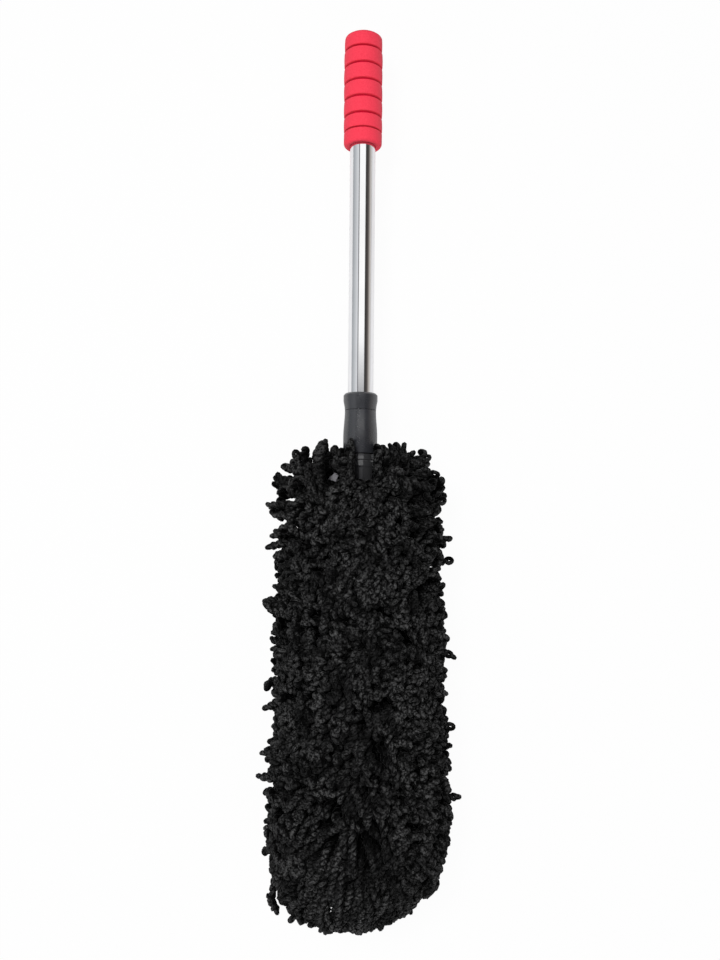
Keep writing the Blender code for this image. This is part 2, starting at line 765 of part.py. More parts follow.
def make_yarn_band(index, material, collection, parent, floor, rng):
    """A slice of the sleeve with its rows of strands, cut flat where it lies."""
    name = f"yarn_band_{index + 1:02d}"
    first = index * ROWS_PER_BAND
    bm = bmesh.new()
    outer = []
    for row in range(first, first + ROWS_PER_BAND + 1):
        station = row_station(row)
        if row == first:
            station -= GAP / 2
        if row == first + ROWS_PER_BAND:
            station += GAP / 2
        shift = row % 2 / 2
        outer.append(oval_ring(bm, BACKING_HALF_WIDTH, BACKING_HALF_HEIGHT, station, STRANDS_AROUND, shift))
    rooted = []
    for row, (near, far) in enumerate(zip(outer, outer[1:]), start=first):
        rooted += join_rows(bm, near, far, row % 2 == 1)
    top = row_station(first) - GAP / 2
    bottom = row_station(first + ROWS_PER_BAND) + GAP / 2
    last = first + ROWS_PER_BAND
    inner_top = oval_ring(bm, BORE_HALF_WIDTH, BORE_HALF_HEIGHT, top, STRANDS_AROUND, first % 2 / 2)
    inner_bottom = oval_ring(bm, BORE_HALF_WIDTH, BORE_HALF_HEIGHT, bottom, STRANDS_AROUND, last % 2 / 2)
    if first % 2 == last % 2:
        close_ring(bm, inner_top, inner_bottom)
    else:
        join_rows(bm, inner_top, inner_bottom, first % 2 == 1)
    close_ring(bm, outer[0], inner_top)
    close_ring(bm, outer[-1], inner_bottom)
    fans = [fan_at(face.calc_center_median().y) for face in rooted]
    finish_strands(bm, rooted, rng, fans)
    mesh = bpy.data.meshes.new(name)
    bm.to_mesh(mesh)
    bm.free()
    band = add_object(name, mesh, material, collection, parent)
    add_boolean(band, floor)
    return band


def make_yarn_tip(material, collection, parent, floor, rng):
    """The sleeve's closed end, whose strands fan out over the tip."""
    bm = bmesh.new()
    shifts = [(ROW_COUNT + row) % 2 / 2 for row in range(len(END_RING_SCALES))]
    top = BANDS_BOTTOM - GAP / 2
    rings = []
    for shift, scale, depth in zip(shifts, END_RING_SCALES, END_RING_DEPTHS):
        station = top + (SLEEVE_END - top) * depth
        width = BACKING_HALF_WIDTH * scale
        height = BACKING_HALF_HEIGHT * scale
        rings.append(oval_ring(bm, width, height, station, STRANDS_AROUND, shift))
    rooted = []
    fans = []
    for row, fan in enumerate(END_ROW_FANS):
        faces = join_rows(bm, rings[row], rings[row + 1], shifts[row] > 0)
        rooted += faces
        fans += [(fan, TIP_REACH)] * len(faces)
    pole = bm.verts.new((0, SLEEVE_END, 0))
    for i in range(STRANDS_AROUND):
        after = (i + 1) % STRANDS_AROUND
        face = bm.faces.new((rings[-1][i], rings[-1][after], pole))
        if i % END_CAP_SPACING == 0 and after > 0:
            rooted.append(face)
            fans.append((END_CAP_FAN, TIP_REACH + PRESS))
    floor_station = top - SLEEVE_END_DEPTH / 2
    mouth = oval_ring(bm, BORE_HALF_WIDTH, BORE_HALF_HEIGHT, top, STRANDS_AROUND, shifts[0])
    seat_width = BORE_HALF_WIDTH * END_POCKET_SCALE
    seat_height = BORE_HALF_HEIGHT * END_POCKET_SCALE
    seat = oval_ring(bm, seat_width, seat_height, floor_station, STRANDS_AROUND, shifts[0])
    close_ring(bm, rings[0], mouth)
    close_ring(bm, mouth, seat)
    bm.faces.new(seat)
    finish_strands(bm, rooted, rng, fans)
    mesh = bpy.data.meshes.new("yarn_tip")
    bm.to_mesh(mesh)
    bm.free()
    tip = add_object("yarn_tip", mesh, material, collection, parent)
    add_boolean(tip, floor)
    return tip


def make_floor_cutter(collection):
    """A slab under the resting surface, which trims the strands flat."""
    mesh = bpy.data.meshes.new("floor_slab")
    bm = bmesh.new()
    bmesh.ops.create_cube(bm, size=1)
    bmesh.ops.scale(bm, vec=(2 * HEAD_WIDTH, 2 * TOTAL_LENGTH, FLOOR_SLAB_DEPTH), verts=bm.verts)
    bmesh.ops.translate(bm, vec=(0, 0, -FLOOR_SLAB_DEPTH / 2), verts=bm.verts)
    bm.to_mesh(mesh)
    bm.free()
    slab = add_object("floor_slab", mesh, None, collection, None)
    hide_cutter(slab)
    return slab


def main():
    clear_scene()
    duster = new_collection("car_duster")
    cutters = new_collection("cutters")
    foam = make_material("red_foam", (0.80, 0.035, 0.065), 0.9)
    chrome = make_material("chrome", (0.78, 0.78, 0.80), 0.12, 1.0)
    matte = make_material("matte_black_plastic", (0.035, 0.035, 0.038), 0.5)
    gloss = make_material("gloss_black_plastic", (0.02, 0.02, 0.022), 0.25)
    pale = make_material("natural_plastic", (0.70, 0.70, 0.66), 0.5)
    steel = make_material("steel", (0.55, 0.55, 0.56), 0.35, 1.0)
    yarn = make_material("black_yarn", (0.012, 0.012, 0.012), 1.0)
    tape = make_material("black_tape", (0.03, 0.03, 0.03), 0.9)
    label = make_material("grey_satin", (0.25, 0.25, 0.27), 0.4)

    head = add_joint_frame("mop_head", duster)
    stem = add_joint_frame("stem", duster, head)
    handle = add_joint_frame("handle", duster, stem)
    collar = add_joint_frame("collar", duster, handle)

    make_foam_grip(foam, duster, handle)
    make_end_plug(pale, duster, handle)
    make_outer_tube(chrome, duster, handle)
    make_lock_base(matte, duster, cutters, handle)
    make_lock_collar(matte, duster, collar)

    pin_hole = make_cross_pin_cutter(cutters, stem)
    make_guide_plug(pale, duster, stem)
    make_inner_tube(chrome, duster, stem, pin_hole)
    make_neck(gloss, duster, stem)
    make_head_frame(gloss, duster, cutters, stem, pin_hole)
    make_frame_pin(steel, duster, stem)

    make_sleeve_hem(tape, duster, head)
    make_hem_elastic(tape, duster, head)
    make_care_label(label, duster, head)
    floor = make_floor_cutter(cutters)
    rng = random.Random(STRAND_SEED)
    for index in range(BAND_COUNT):
        make_yarn_band(index, yarn, duster, head, floor, rng)
    make_yarn_tip(yarn, duster, head, floor, rng)


main()
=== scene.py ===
"""Looks of the car duster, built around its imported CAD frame.

The head's strands are twisted loops of yarn. They are laid out on the sleeve, settled by a small rope
simulation, and then drawn as real tubes. Lengths are in metres, in the CAD's own frame.
"""

import math

import bmesh
import bpy
import numpy as np
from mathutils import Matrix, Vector


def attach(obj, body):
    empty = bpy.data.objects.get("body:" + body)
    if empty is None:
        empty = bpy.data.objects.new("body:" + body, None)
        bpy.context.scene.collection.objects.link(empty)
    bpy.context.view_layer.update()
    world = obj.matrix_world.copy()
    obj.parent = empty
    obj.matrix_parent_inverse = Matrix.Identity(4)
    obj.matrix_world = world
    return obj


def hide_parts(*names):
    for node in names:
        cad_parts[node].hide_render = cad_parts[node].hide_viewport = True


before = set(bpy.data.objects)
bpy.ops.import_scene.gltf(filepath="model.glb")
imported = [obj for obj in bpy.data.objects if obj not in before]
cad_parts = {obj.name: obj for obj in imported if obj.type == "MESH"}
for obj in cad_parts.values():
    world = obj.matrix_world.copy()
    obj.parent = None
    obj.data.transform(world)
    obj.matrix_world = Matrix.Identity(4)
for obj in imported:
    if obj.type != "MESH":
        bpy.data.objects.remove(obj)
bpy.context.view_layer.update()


def span_of(node):
    """Where a CAD node begins and ends along the pole, to a hundredth of a millimetre."""
    places = [vertex.co.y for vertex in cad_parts[node].data.vertices]
    return round(min(places), 5), round(max(places), 5)


def curve_of(points):
    """A function that reads a value between the (place, value) points given."""
    places, values = zip(*points)
    return lambda at: np.interp(at, places, values)


# Height of the pole's axis over the ground
AXIS_HEIGHT = 0.054

# Places along the pole, from the CAD's nodes and from its sleeve
GRIP_BOTTOM, GRIP_TOP = span_of("foam_grip")
COLLAR_BOTTOM, COLLAR_TOP = span_of("lock_collar")
NECK_BOTTOM, NECK_TOP = span_of("neck_ferrule")
HEM_BOTTOM, SLEEVE_MOUTH = span_of("sleeve_hem")
BANDS_TOP = -0.0028
BANDS_BOTTOM = -0.2975
SLEEVE_END = -0.3135
BAND_COUNT = 8

# Grip, tubes and the hole through collar and neck
GRIP_RADIUS = 0.0166
GRIP_EDGE = 0.0006
GROOVE_DEPTH = 0.0026
TUBE_WALL = 0.0004
POLE_HOLE = 0.0098

# Oval section of the sleeve
BORE_HALF_WIDTH = 0.0238
BORE_HALF_HEIGHT = 0.0131
SLEEVE_WALL = 0.0024

# The head's outline: its half width along the pole, where its ends start to close and over what length, its
# heights over and under the axis, its shift to one side towards the tip, and how square its section is
head_half_width = curve_of(
    [(-0.330, 0.0765), (-0.295, 0.0795), (-0.225, 0.0785), (-0.195, 0.0735), (-0.165, 0.0740)]
    + [(-0.130, 0.0765), (-0.100, 0.0750), (-0.075, 0.0725), (-0.045, 0.0755), (-0.010, 0.0755)]
)
MOUTH_CLOSING, MOUTH_LENGTH = -0.019, 0.0550
TIP_CLOSING, TIP_LENGTH, TIP_SLANT = -0.312, 0.0735, 0.15
OUTLINE_BOTTOM, OUTLINE_TOP = -0.3850, 0.0310
HEIGHT_OVER_AXIS, HEIGHT_UNDER_AXIS = 0.0520, 0.0560
TIP_SHIFT = 0.0015
SECTION_POWER = 2.4

# What the strands keep clear of: the pole, the head frame on its way out, and, seen from above, the label and
# the neck's front, each as (left, right, low, high)
POLE_CLEARANCE = 0.0135
FRAME_HALF_WIDTH, FRAME_HALF_THICKNESS = 0.0236, 0.0046
BARE_WINDOWS = ((-0.0325, -0.0130, -0.0020, 0.0105), (-0.0080, 0.0150, -0.0010, 0.0400))
WINDOW_HEIGHT = 0.003

# Strands: their layout, where the tip's fan starts and has its hub, and their least length along the pole
STRAND_RADIUS = 0.0034
STRAND_POINTS = 15
ROW_COUNT = 32
STRANDS_AROUND = 36
STRAND_SEED = 21
FAN_START = -0.255
FAN_HUB = -0.316
least_length = curve_of([(-0.29, 0.054), (-0.26, 0.056), (-0.10, 0.055), (-0.02, 0.044), (-0.008, 0.032)])

# Strays, the single strands that stand out of the outline
STRAY_EVERY = 14
STRAY_LENGTH = 0.008
STRAY_ROOM = 0.0085
STRAY_TRIM = 0.007

# Settling
ROUNDS = 70
PULLED_ROUNDS = 52
SEARCH_EVERY = 5
PAIR_REACH = 0.0085
STIFFNESS = 0.06
PUSH = 1.4

# Yarn: two plies twisted round each other
PLY_RADIUS = 0.00200
PLY_OFFSET = 0.00190
TWIST_PITCH = 0.0098
PLY_SIDES = 6
PATH_SAMPLES = 52
TURN_SAMPLES = 5

# The yarn's height on its strand by its lift off the middle, and the painted light that its place adds to its
# nearness, most near the mouth and the tip and a little across the head. Both become painted light and shade.
height_of_lift = curve_of([(-1, 0.2), (0, 0.50), (0.25, 0.70), (0.54, 0.89), (0.85, 1.0)])
painted_light_along = curve_of([(-0.348, 0.20), (-0.300, 0.02), (-0.110, 0.0), (0.0, 0.32)])
painted_light_across = curve_of([(-0.060, 0.02), (-0.010, -0.03), (0.060, 0.05)])


def unit(vectors):
    """The vectors at length 1."""
    return vectors / np.maximum(np.linalg.norm(vectors, axis=-1, keepdims=True), 1e-12)


def fade(values, start, length):
    """0 up to the start, 1 past the length from there, and a share between. A negative length runs down."""
    return np.clip((values - start) / length, 0, 1)


def placed(name, data):
    """An object in the scene that shows the data."""
    thing = bpy.data.objects.new(name, data)
    bpy.context.scene.collection.objects.link(thing)
    return thing


def add_piece(name, mesh, body, material):
    """A piece that rides on a body."""
    mesh.materials.append(material)
    piece = placed(name, mesh)
    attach(piece, body)
    return piece


# Strand layout and settling


def strand_roots(rng):
    """Root points on the sleeve, the directions in which they leave it, and the part of each strand."""
    mouth_tilt, tip_tilt = math.radians(42), math.radians(40)
    pitch = (BANDS_TOP - BANDS_BOTTOM) / ROW_COUNT
    middle = (BANDS_TOP + BANDS_BOTTOM) / 2
    rings = []
    for row in range(ROW_COUNT):
        station = BANDS_TOP - (row + 0.5) * pitch
        share = (station - middle) / ((BANDS_TOP - BANDS_BOTTOM) / 2)
        tilt = (mouth_tilt if share > 0 else tip_tilt) * share**3
        rings.append((STRANDS_AROUND, row % 2 / 2, 1.0, station, tilt, row * BAND_COUNT // ROW_COUNT))
    # Rings past the rows: strands, share of the oval, distance from the bands' lower end, tilt in degrees
    tip_rings = (
        (38, 0.99, 0.0006, -44),
        (34, 0.93, 0.0055, -54),
        (30, 0.80, 0.0095, -62),
        (24, 0.63, 0.0125, -70),
        (16, 0.42, 0.0145, -78),
        (8, 0.20, 0.0155, -85),
    )
    mouth_rings = ((34, 1.0, -BANDS_BOTTOM - 0.0040, 54), (30, 1.0, -BANDS_BOTTOM - 0.0032, 68))
    for count, scale, distance, tilt in tip_rings:
        rings.append((count, 0.3, scale, BANDS_BOTTOM - distance, math.radians(tilt), BAND_COUNT))
    for count, scale, distance, tilt in mouth_rings:
        rings.append((count, 0.3, scale, BANDS_BOTTOM + distance, math.radians(tilt), 0))
    strands = []
    for count, shift, scale, station, tilt, part in rings:
        for i in range(count):
            angle = 2 * math.pi * (i + shift) / count
            upper = max(0.0, math.sin(angle)) if part == BAND_COUNT else 0.0
            strands.append((angle, scale, station, tilt * (1 - 0.60 * upper), part))
    angles, scales, stations, tilts, parts = np.array(strands).T
    angles = angles + rng.uniform(-0.04, 0.04, len(angles))
    stations = stations + rng.uniform(-0.0012, 0.0012, len(angles))
    tilts = tilts[:, None]
    wide, high = BORE_HALF_WIDTH + SLEEVE_WALL, BORE_HALF_HEIGHT + SLEEVE_WALL
    x, z = wide * np.cos(angles) * scales, high * np.sin(angles) * scales + AXIS_HEIGHT
    roots = np.stack([x, stations, z], 1)
    normals = unit(np.stack([np.cos(angles) / wide, 0 * angles, np.sin(angles) / high], 1))
    leaving = normals * np.cos(tilts) + np.array([0, 1, 0]) * np.sin(tilts)
    return roots, leaving, parts


def near_pairs(points, reach):
    """Pairs of points nearer than about reach, found by sorting them into cubes."""
    cells = np.floor((points - points.min(0)) / reach).astype(np.int64)
    span = cells.max(0) + 3
    steps = np.array([1, span[0], span[0] * span[1]])
    keys = (cells + 1) @ steps
    order = np.argsort(keys, kind="stable")
    in_order = keys[order]
    found = []
    half = [(1, 0, 0), (0, 1, 0), (1, 1, 0), (-1, 1, 0)]
    half += [(x, y, 1) for x in (-1, 0, 1) for y in (-1, 0, 1)]
    for shift in [(0, 0, 0), *half]:
        wanted = keys + np.array(shift) @ steps
        low, high = (np.searchsorted(in_order, wanted, side) for side in ("left", "right"))
        counts = high - low
        first = np.repeat(np.arange(len(keys)), counts)
        offset = np.arange(counts.sum()) - np.repeat(np.cumsum(counts) - counts, counts)
        second = order[np.repeat(low, counts) + offset]
        pairs = np.stack([first, second], 1)
        found.append(pairs[first < second] if shift == (0, 0, 0) else pairs)
    return np.concatenate(found)


def outline_share(points, room):
    """How far out each point is: 1 on the head's outline, which closes at mouth and tip."""
    x, y, z = points[:, 0], points[:, 1], points[:, 2] - AXIS_HEIGHT
    most = 0.995
    mouth = np.minimum(fade(y, MOUTH_CLOSING, MOUTH_LENGTH), most)
    tip = np.clip((TIP_CLOSING - y + TIP_SLANT * x) / (TIP_LENGTH + room), 0, most)
    scale = (1 - mouth**3) ** 0.33 * (1 - tip**2.2) ** 0.5
    aside = TIP_SHIFT * fade(y, -0.130, -0.060)
    wide = (head_half_width(y) + aside + room - STRAND_RADIUS) * scale
    high = np.where(z > 0, HEIGHT_OVER_AXIS + room * 0.5, HEIGHT_UNDER_AXIS) * scale - STRAND_RADIUS * scale
    section = (np.abs(x - aside) / wide) ** SECTION_POWER + (np.abs(z) / high) ** SECTION_POWER
    return section ** (1 / SECTION_POWER)


def way_off_head(points):
    """The direction in which each point would leave the head by the shortest way."""
    flat = points.reshape(-1, 3)
    here = outline_share(flat, 0.0)
    rise = [outline_share(flat + 0.001 * axis, 0.0) - here for axis in np.eye(3)]
    return unit(np.stack(rise, 1)).reshape(points.shape)


def outer_bound(points, room):
    """Brings points that left the head's outline back to it."""
    back = 1 / np.maximum(outline_share(points, room), 1)
    points[:, 0] *= back
    points[:, 1] = np.clip(points[:, 1], OUTLINE_BOTTOM - room * 0.6, OUTLINE_TOP + room)
    points[:, 2] = (points[:, 2] - AXIS_HEIGHT) * back + AXIS_HEIGHT


def inner_bound(points):
    """Keeps points off sleeve, pole, floor and the frame's way out, and from over the label and the neck."""
    x, y, z = points[:, 0], points[:, 1], points[:, 2] - AXIS_HEIGHT
    wide = BORE_HALF_WIDTH + SLEEVE_WALL + 0.8 * STRAND_RADIUS
    high = BORE_HALF_HEIGHT + SLEEVE_WALL + 0.8 * STRAND_RADIUS
    size = np.sqrt((x / wide) ** 2 + (z / high) ** 2)
    inside = (size < 1) & (y < SLEEVE_MOUTH + 0.001) & (y > SLEEVE_END)
    push = np.where(inside, 1 / np.maximum(size, 0.05), 1.0)
    x, z = x * push, z * push
    radius = np.hypot(x, z)
    pole = POLE_CLEARANCE + STRAND_RADIUS
    push = np.where((radius < pole) & (y >= SLEEVE_MOUTH), pole / np.maximum(radius, 1e-6), 1.0)
    x, z = x * push, z * push
    side, flat = FRAME_HALF_WIDTH + STRAND_RADIUS, FRAME_HALF_THICKNESS + STRAND_RADIUS
    inside = (np.abs(x) < side) & (np.abs(z) < flat) & (y >= SLEEVE_MOUTH)
    z = np.where(inside, np.copysign(flat, z), z)
    for left, right, low, high in BARE_WINDOWS:
        over = (x > left) & (x < right) & (y > low) & (y < high) & (z > WINDOW_HEIGHT)
        x = np.where(over, np.where(x > (left + right) / 2, right, left), x)
    points[:, 0] = x
    points[:, 2] = np.maximum(z + AXIS_HEIGHT, STRAND_RADIUS)


def turned(vectors, angle):
    """The vectors turned round the up axis."""
    x, y, z = vectors.T
    return np.stack([x * np.cos(angle) - y * np.sin(angle), x * np.sin(angle) + y * np.cos(angle), z], 1)


def sideways_share(leaving):
    """1 for strands that leave the sleeve to a side, 0 for those that leave it up, down or along."""
    return np.clip(np.abs(leaving[:, 0]) * 1.6 - 0.9, 0, 1)


def combing(roots, leaving, rng):
    """The way each strand's outer half leans: round the tip's hub, sideways, or any way near the mouth."""
    count = len(roots)
    off_middle = np.abs(roots[:, 0])
    over_hub = (1 - fade(off_middle, 0, 0.014)) * (leaving[:, 2] > 0)
    landing = roots + leaving * 0.045
    back = np.minimum(landing[:, 1] - FAN_HUB, 0.06 * landing[:, 0]) - 0.014 * over_hub
    hub = unit(np.stack([landing[:, 0] * 1.2, back, np.zeros(count)], 1))
    hub = turned(hub, rng.normal(0, 0.08, count))
    middle = 1 - fade(off_middle, 0, 0.016)
    side = np.sign(roots[:, 0] + rng.uniform(-0.009, 0.009, count))
    turn = rng.normal(-0.10, 0.30, count) - middle * rng.uniform(0, 1.6, count)
    across = np.stack([side * np.cos(turn), np.sin(turn), np.zeros(count)], 1)
    spin = rng.uniform(0, 2 * math.pi, count)
    any_way = np.stack([np.cos(spin), np.sin(spin), 0.4 * np.sin(2 * spin)], 1)
    outward = sideways_share(leaving)[:, None]
    to_tip = fade(roots[:, 1], FAN_START, -0.022)[:, None]
    to_mouth = np.minimum(fade(roots[:, 1], -0.170, 0.090), 0.8)[:, None] * (1 - outward)
    comb = hub * to_tip + (1 - to_tip) * (across * (1 - to_mouth) + any_way * to_mouth)
    curl = unit(rng.normal(size=(count, 3))) * rng.uniform(0.1, 1.0, (count, 1))
    curl *= (1 - 0.70 * outward) * (1 - 0.90 * to_tip)
    return unit(comb + leaving * rng.uniform(0.1, 0.9, (count, 1))), curl


def reaches(roots, leaving):
    """How far each strand can run straight before it meets the head's outline."""
    longest, shortest, step = 0.120, 0.010, 0.001
    reach = np.full(len(roots), longest)
    for run in np.arange(longest, shortest, -step):
        points = roots + leaving * run
        moved = points.copy()
        outer_bound(moved, 0.0)
        reach[np.linalg.norm(moved - points, axis=1) > 1e-6] = run
    return reach


def laid_over_share(roots, leaving):
    """1 for the upper strands near the tip, which lie down over the others, and 0 for the rest."""
    return fade(roots[:, 1], FAN_START, -0.025) * fade(leaving[:, 2], 0, 0.6)


def strand_lengths(roots, leaving, stray, rng):
    """Each strand's length: as far as the outline, and at least what its place asks for."""
    least = least_length(roots[:, 1]) * (1 - 0.3 * sideways_share(leaving))
    least = (least + 0.034 * laid_over_share(roots, leaving)) * rng.uniform(0.94, 1.16, len(roots))
    reach = reaches(roots, leaving) * (1 + 0.10 * fade(roots[:, 1], -0.020, 0.012))
    return np.maximum(least, reach * rng.uniform(0.95, 1.02, len(roots))) + STRAY_LENGTH * stray


def bent_paths(roots, leaving, comb, curl, step, along):
    """The strands before they settle: straight at first, then bent the way they are combed."""
    laid_over = laid_over_share(roots, leaving)[:, None]
    paths = np.empty((len(roots), STRAND_POINTS, 3))
    paths[:, 0] = roots
    heading = leaving
    for k in range(1, STRAND_POINTS):
        bend = 0.38 * along[k] + laid_over * (0.45 * along[k] + 1.15 * along[k] ** 2)
        heading = unit(heading + bend * comb + 0.55 * along[k] ** 2 * curl)
        paths[:, k] = paths[:, k - 1] + heading * step
    return paths


def push_apart(points, pairs, girth):
    """Moves the points of each pair that overlap away from each other."""
    apart = points[pairs[:, 1]] - points[pairs[:, 0]]
    distance = np.linalg.norm(apart, axis=1)
    depth = girth[pairs].sum(1) - distance
    close = depth > 0
    hit, apart, distance, depth = pairs[close], apart[close], distance[close], depth[close]
    push = apart * (depth / np.maximum(distance, 1e-5) * 0.5)[:, None]
    moves = np.zeros_like(points)
    hits = np.bincount(hit.ravel(), minlength=len(points))
    for axis in range(3):
        moves[:, axis] = np.bincount(hit[:, 1], push[:, axis], len(points))
        moves[:, axis] -= np.bincount(hit[:, 0], push[:, axis], len(points))
    points += moves / np.maximum(hits, 1)[:, None] * PUSH


def settle(roots, leaving, stray, rng):
    """A small rope simulation: the strands keep their length, push each other apart and flop over.

    Each strand has its own room past the outline. Strays have the most.
    """
    count = len(roots)
    step = (strand_lengths(roots, leaving, stray, rng) / (STRAND_POINTS - 1))[:, None]
    along = np.arange(STRAND_POINTS) / (STRAND_POINTS - 1)
    comb, curl = combing(roots, leaving, rng)
    paths = bent_paths(roots, leaving, comb, curl, step, along)
    first = roots + leaving * step
    owner = np.repeat(np.arange(count), STRAND_POINTS)
    place = np.tile(np.arange(STRAND_POINTS), count)
    room = np.where(rng.random(count) < 0.06, 0.006, rng.uniform(-0.003, 0.002, count))
    room = np.repeat(np.where(stray, STRAY_ROOM, room), STRAND_POINTS)
    girth = np.tile(STRAND_RADIUS * np.interp(along, [0.1, 0.5], [0.7, 1.0]), count)
    weight = (along**2)[None, :, None]
    pull = comb[:, None] * 0.0005 + curl[:, None] * 0.0005 + np.array([0, 0, -0.00025])
    for turn in range(ROUNDS):
        paths += pull * weight * max(0.0, 1 - turn / PULLED_ROUNDS)
        middle = (paths[:, :-2] + paths[:, 2:]) / 2
        paths[:, 1:-1] += STIFFNESS * (middle - paths[:, 1:-1])
        flat = paths.reshape(-1, 3)
        if turn % SEARCH_EVERY == 0:
            pairs = near_pairs(flat, PAIR_REACH)
            same = owner[pairs[:, 0]] == owner[pairs[:, 1]]
            near = np.abs(place[pairs[:, 0]] - place[pairs[:, 1]]) < 3
            pairs = pairs[~(same & near)]
        push_apart(flat, pairs, girth)
        outer_bound(flat, room)
        inner_bound(flat)
        paths[:, 0] = roots
        paths[:, 1] = first
        for k in range(2, STRAND_POINTS):
            paths[:, k] = paths[:, k - 1] + unit(paths[:, k] - paths[:, k - 1]) * step
    return paths


# Drawing the strands


def smoothed(paths, shares):
    """Catmull-Rom curves through the points of each path, read at the shares of its length."""
    count = paths.shape[1]
    ends = np.concatenate([2 * paths[:, :1] - paths[:, 1:2], paths, 2 * paths[:, -1:] - paths[:, -2:-1]], 1)
    at = shares * (count - 1)
    span = np.minimum(at.astype(int), count - 2)
    t = (at - span)[..., None]
    a, b, c, d = (np.take_along_axis(ends, (span + k)[..., None], 1) for k in range(4))
    return 0.5 * (2 * b + (c - a) * t + (2 * a - 5 * b + 4 * c - d) * t**2 + (3 * b - 3 * c + d - a) * t**3)


def trimmed(paths, stray, rng):
    """The share of each strand that stays: it's cut where it leaves the outline, and strays further out."""
    count = paths.shape[1]
    flat = paths.reshape(-1, 3)
    held = flat.copy()
    room = rng.uniform(0.0, 0.0030, len(paths)) + STRAY_TRIM * stray
    outer_bound(held, room.repeat(count))
    outside = (np.linalg.norm(held - flat, axis=1) > 0.0004).reshape(paths.shape[:2])
    outside[:, : count // 2] = False
    last = np.where(outside.any(1), outside.argmax(1) - 0.5, count - 1)
    return (last / (count - 1))[:, None]


def carried_frames(paths):
    """Tangents of the paths, with two directions across them that don't twist along the way."""
    ahead = unit(np.gradient(paths, axis=1))
    helper = np.where(np.abs(ahead[:, 0, 2:]) < 0.9, [0.0, 0, 1], [1.0, 0, 0])
    across = np.empty_like(paths)
    across[:, 0] = unit(np.cross(ahead[:, 0], helper))
    for k in range(1, paths.shape[1]):
        carried = across[:, k - 1]
        across[:, k] = unit(carried - (carried * ahead[:, k]).sum(1, keepdims=True) * ahead[:, k])
    return ahead, across, np.cross(ahead, across)


def twisted_loops(paths, stray, rng):
    """The yarn's own path in each strand: out along the twist, round the end, and back beside itself."""
    share = np.linspace(0, 1, PATH_SAMPLES) ** 0.8
    centre = smoothed(paths, share * trimmed(paths, stray, rng))
    ahead, across, other = carried_frames(centre)
    each = (len(paths), 1)
    steps = np.linalg.norm(np.diff(centre, axis=1), axis=2)
    run = np.concatenate([np.zeros(each), np.cumsum(steps, 1)], 1)
    pitch = TWIST_PITCH * rng.uniform(0.88, 1.15, each)
    phase = rng.uniform(0, 2 * math.pi, each) + 2 * math.pi * run / pitch
    phase += 0.7 * np.sin(run * 260 + 2 * phase[:, :1])
    offset = PLY_OFFSET * (0.80 + 0.20 * np.minimum(share * 4, 1) + 0.12 * share**8)[:, None]
    radial = np.cos(phase)[..., None] * across + np.sin(phase)[..., None] * other
    out, back = centre + offset * radial, centre - offset * radial
    turn = (math.pi * (np.arange(TURN_SAMPLES) + 1) / (TURN_SAMPLES + 1))[:, None]
    width = offset[-1]
    end = centre[:, -1:] + width * np.cos(turn) * radial[:, -1:] + 1.5 * width * np.sin(turn) * ahead[:, -1:]
    at_turn = np.repeat(ahead[:, -1:], TURN_SAMPLES, 1)
    way_out = np.concatenate([radial, at_turn, -radial[:, ::-1]], 1)
    along = np.concatenate([ahead, at_turn, ahead[:, ::-1]], 1)
    middle = np.concatenate([centre, np.repeat(centre[:, -1:], TURN_SAMPLES, 1), centre[:, ::-1]], 1)
    shares = np.concatenate([share, np.ones(TURN_SAMPLES), share[::-1]])
    return np.concatenate([out, end, back[:, ::-1]], 1), way_out, along, middle, shares


def tube_faces(count, rings):
    """The quads along closed tubes, and the caps at their ends."""
    base = (np.arange(count) * rings * PLY_SIDES)[:, None, None]
    side = np.arange(PLY_SIDES)
    after = (side + 1) % PLY_SIDES
    low = base + (np.arange(rings - 1) * PLY_SIDES)[None, :, None]
    quads = np.stack([low + side, low + after, low + PLY_SIDES + after, low + PLY_SIDES + side], -1)
    caps = [base[:, 0] + side[::-1], base[:, 0] + (rings - 1) * PLY_SIDES + side]
    return quads.reshape(-1, 4), np.concatenate(caps)


def height_on_strand(points, ring, loops, way_out, along, middle, shares):
    """How high each point of the yarn lies on its strand.

    It's the lift off the middle of a strand that lies on the head, and on one that stands up it's how far the
    point faces out of the twist. The material paints light and shade by it.
    """
    facing = 0.5 + 0.5 * (ring * way_out[:, :, None]).sum(-1)
    # Painted highlight: the ends of the loops count as facing out
    facing = facing + (1 - facing) * np.clip(shares * 14 - 13, 0, 0.9)[None, :, None]
    # Painted light from above: the way off the head leans upwards, so tops read higher and undersides lower
    off_head = unit(way_off_head(loops) + np.array([0, 0, 0.5]))
    up = off_head - (off_head * along).sum(-1, keepdims=True) * along
    lying = fade(np.linalg.norm(up, axis=-1), 0, 0.6)[..., None]
    lift = ((points - middle[:, :, None]) * unit(up)[:, :, None]).sum(-1) / (PLY_OFFSET + PLY_RADIUS)
    return facing + (height_of_lift(lift) - facing) * lying


def nearness(points, shares, rng):
    """How near each point of the yarn is to the head's outline. A strand's root counts as deep."""
    flat = points.reshape(-1, 3)
    # Painted light and shade: the place along and across the head raises the nearness, most at the mouth and
    # the tip, and the material paints shade where it is low
    painted_light = painted_light_along(flat[:, 1]) + painted_light_across(flat[:, 0])
    near = fade(outline_share(flat, 0.0) + painted_light, 0.72, 0.26).reshape(len(points), -1)
    near = near * rng.uniform(0.70, 1.0, (len(points), 1))
    return near * fade(shares, 0, 0.36).repeat(PLY_SIDES)


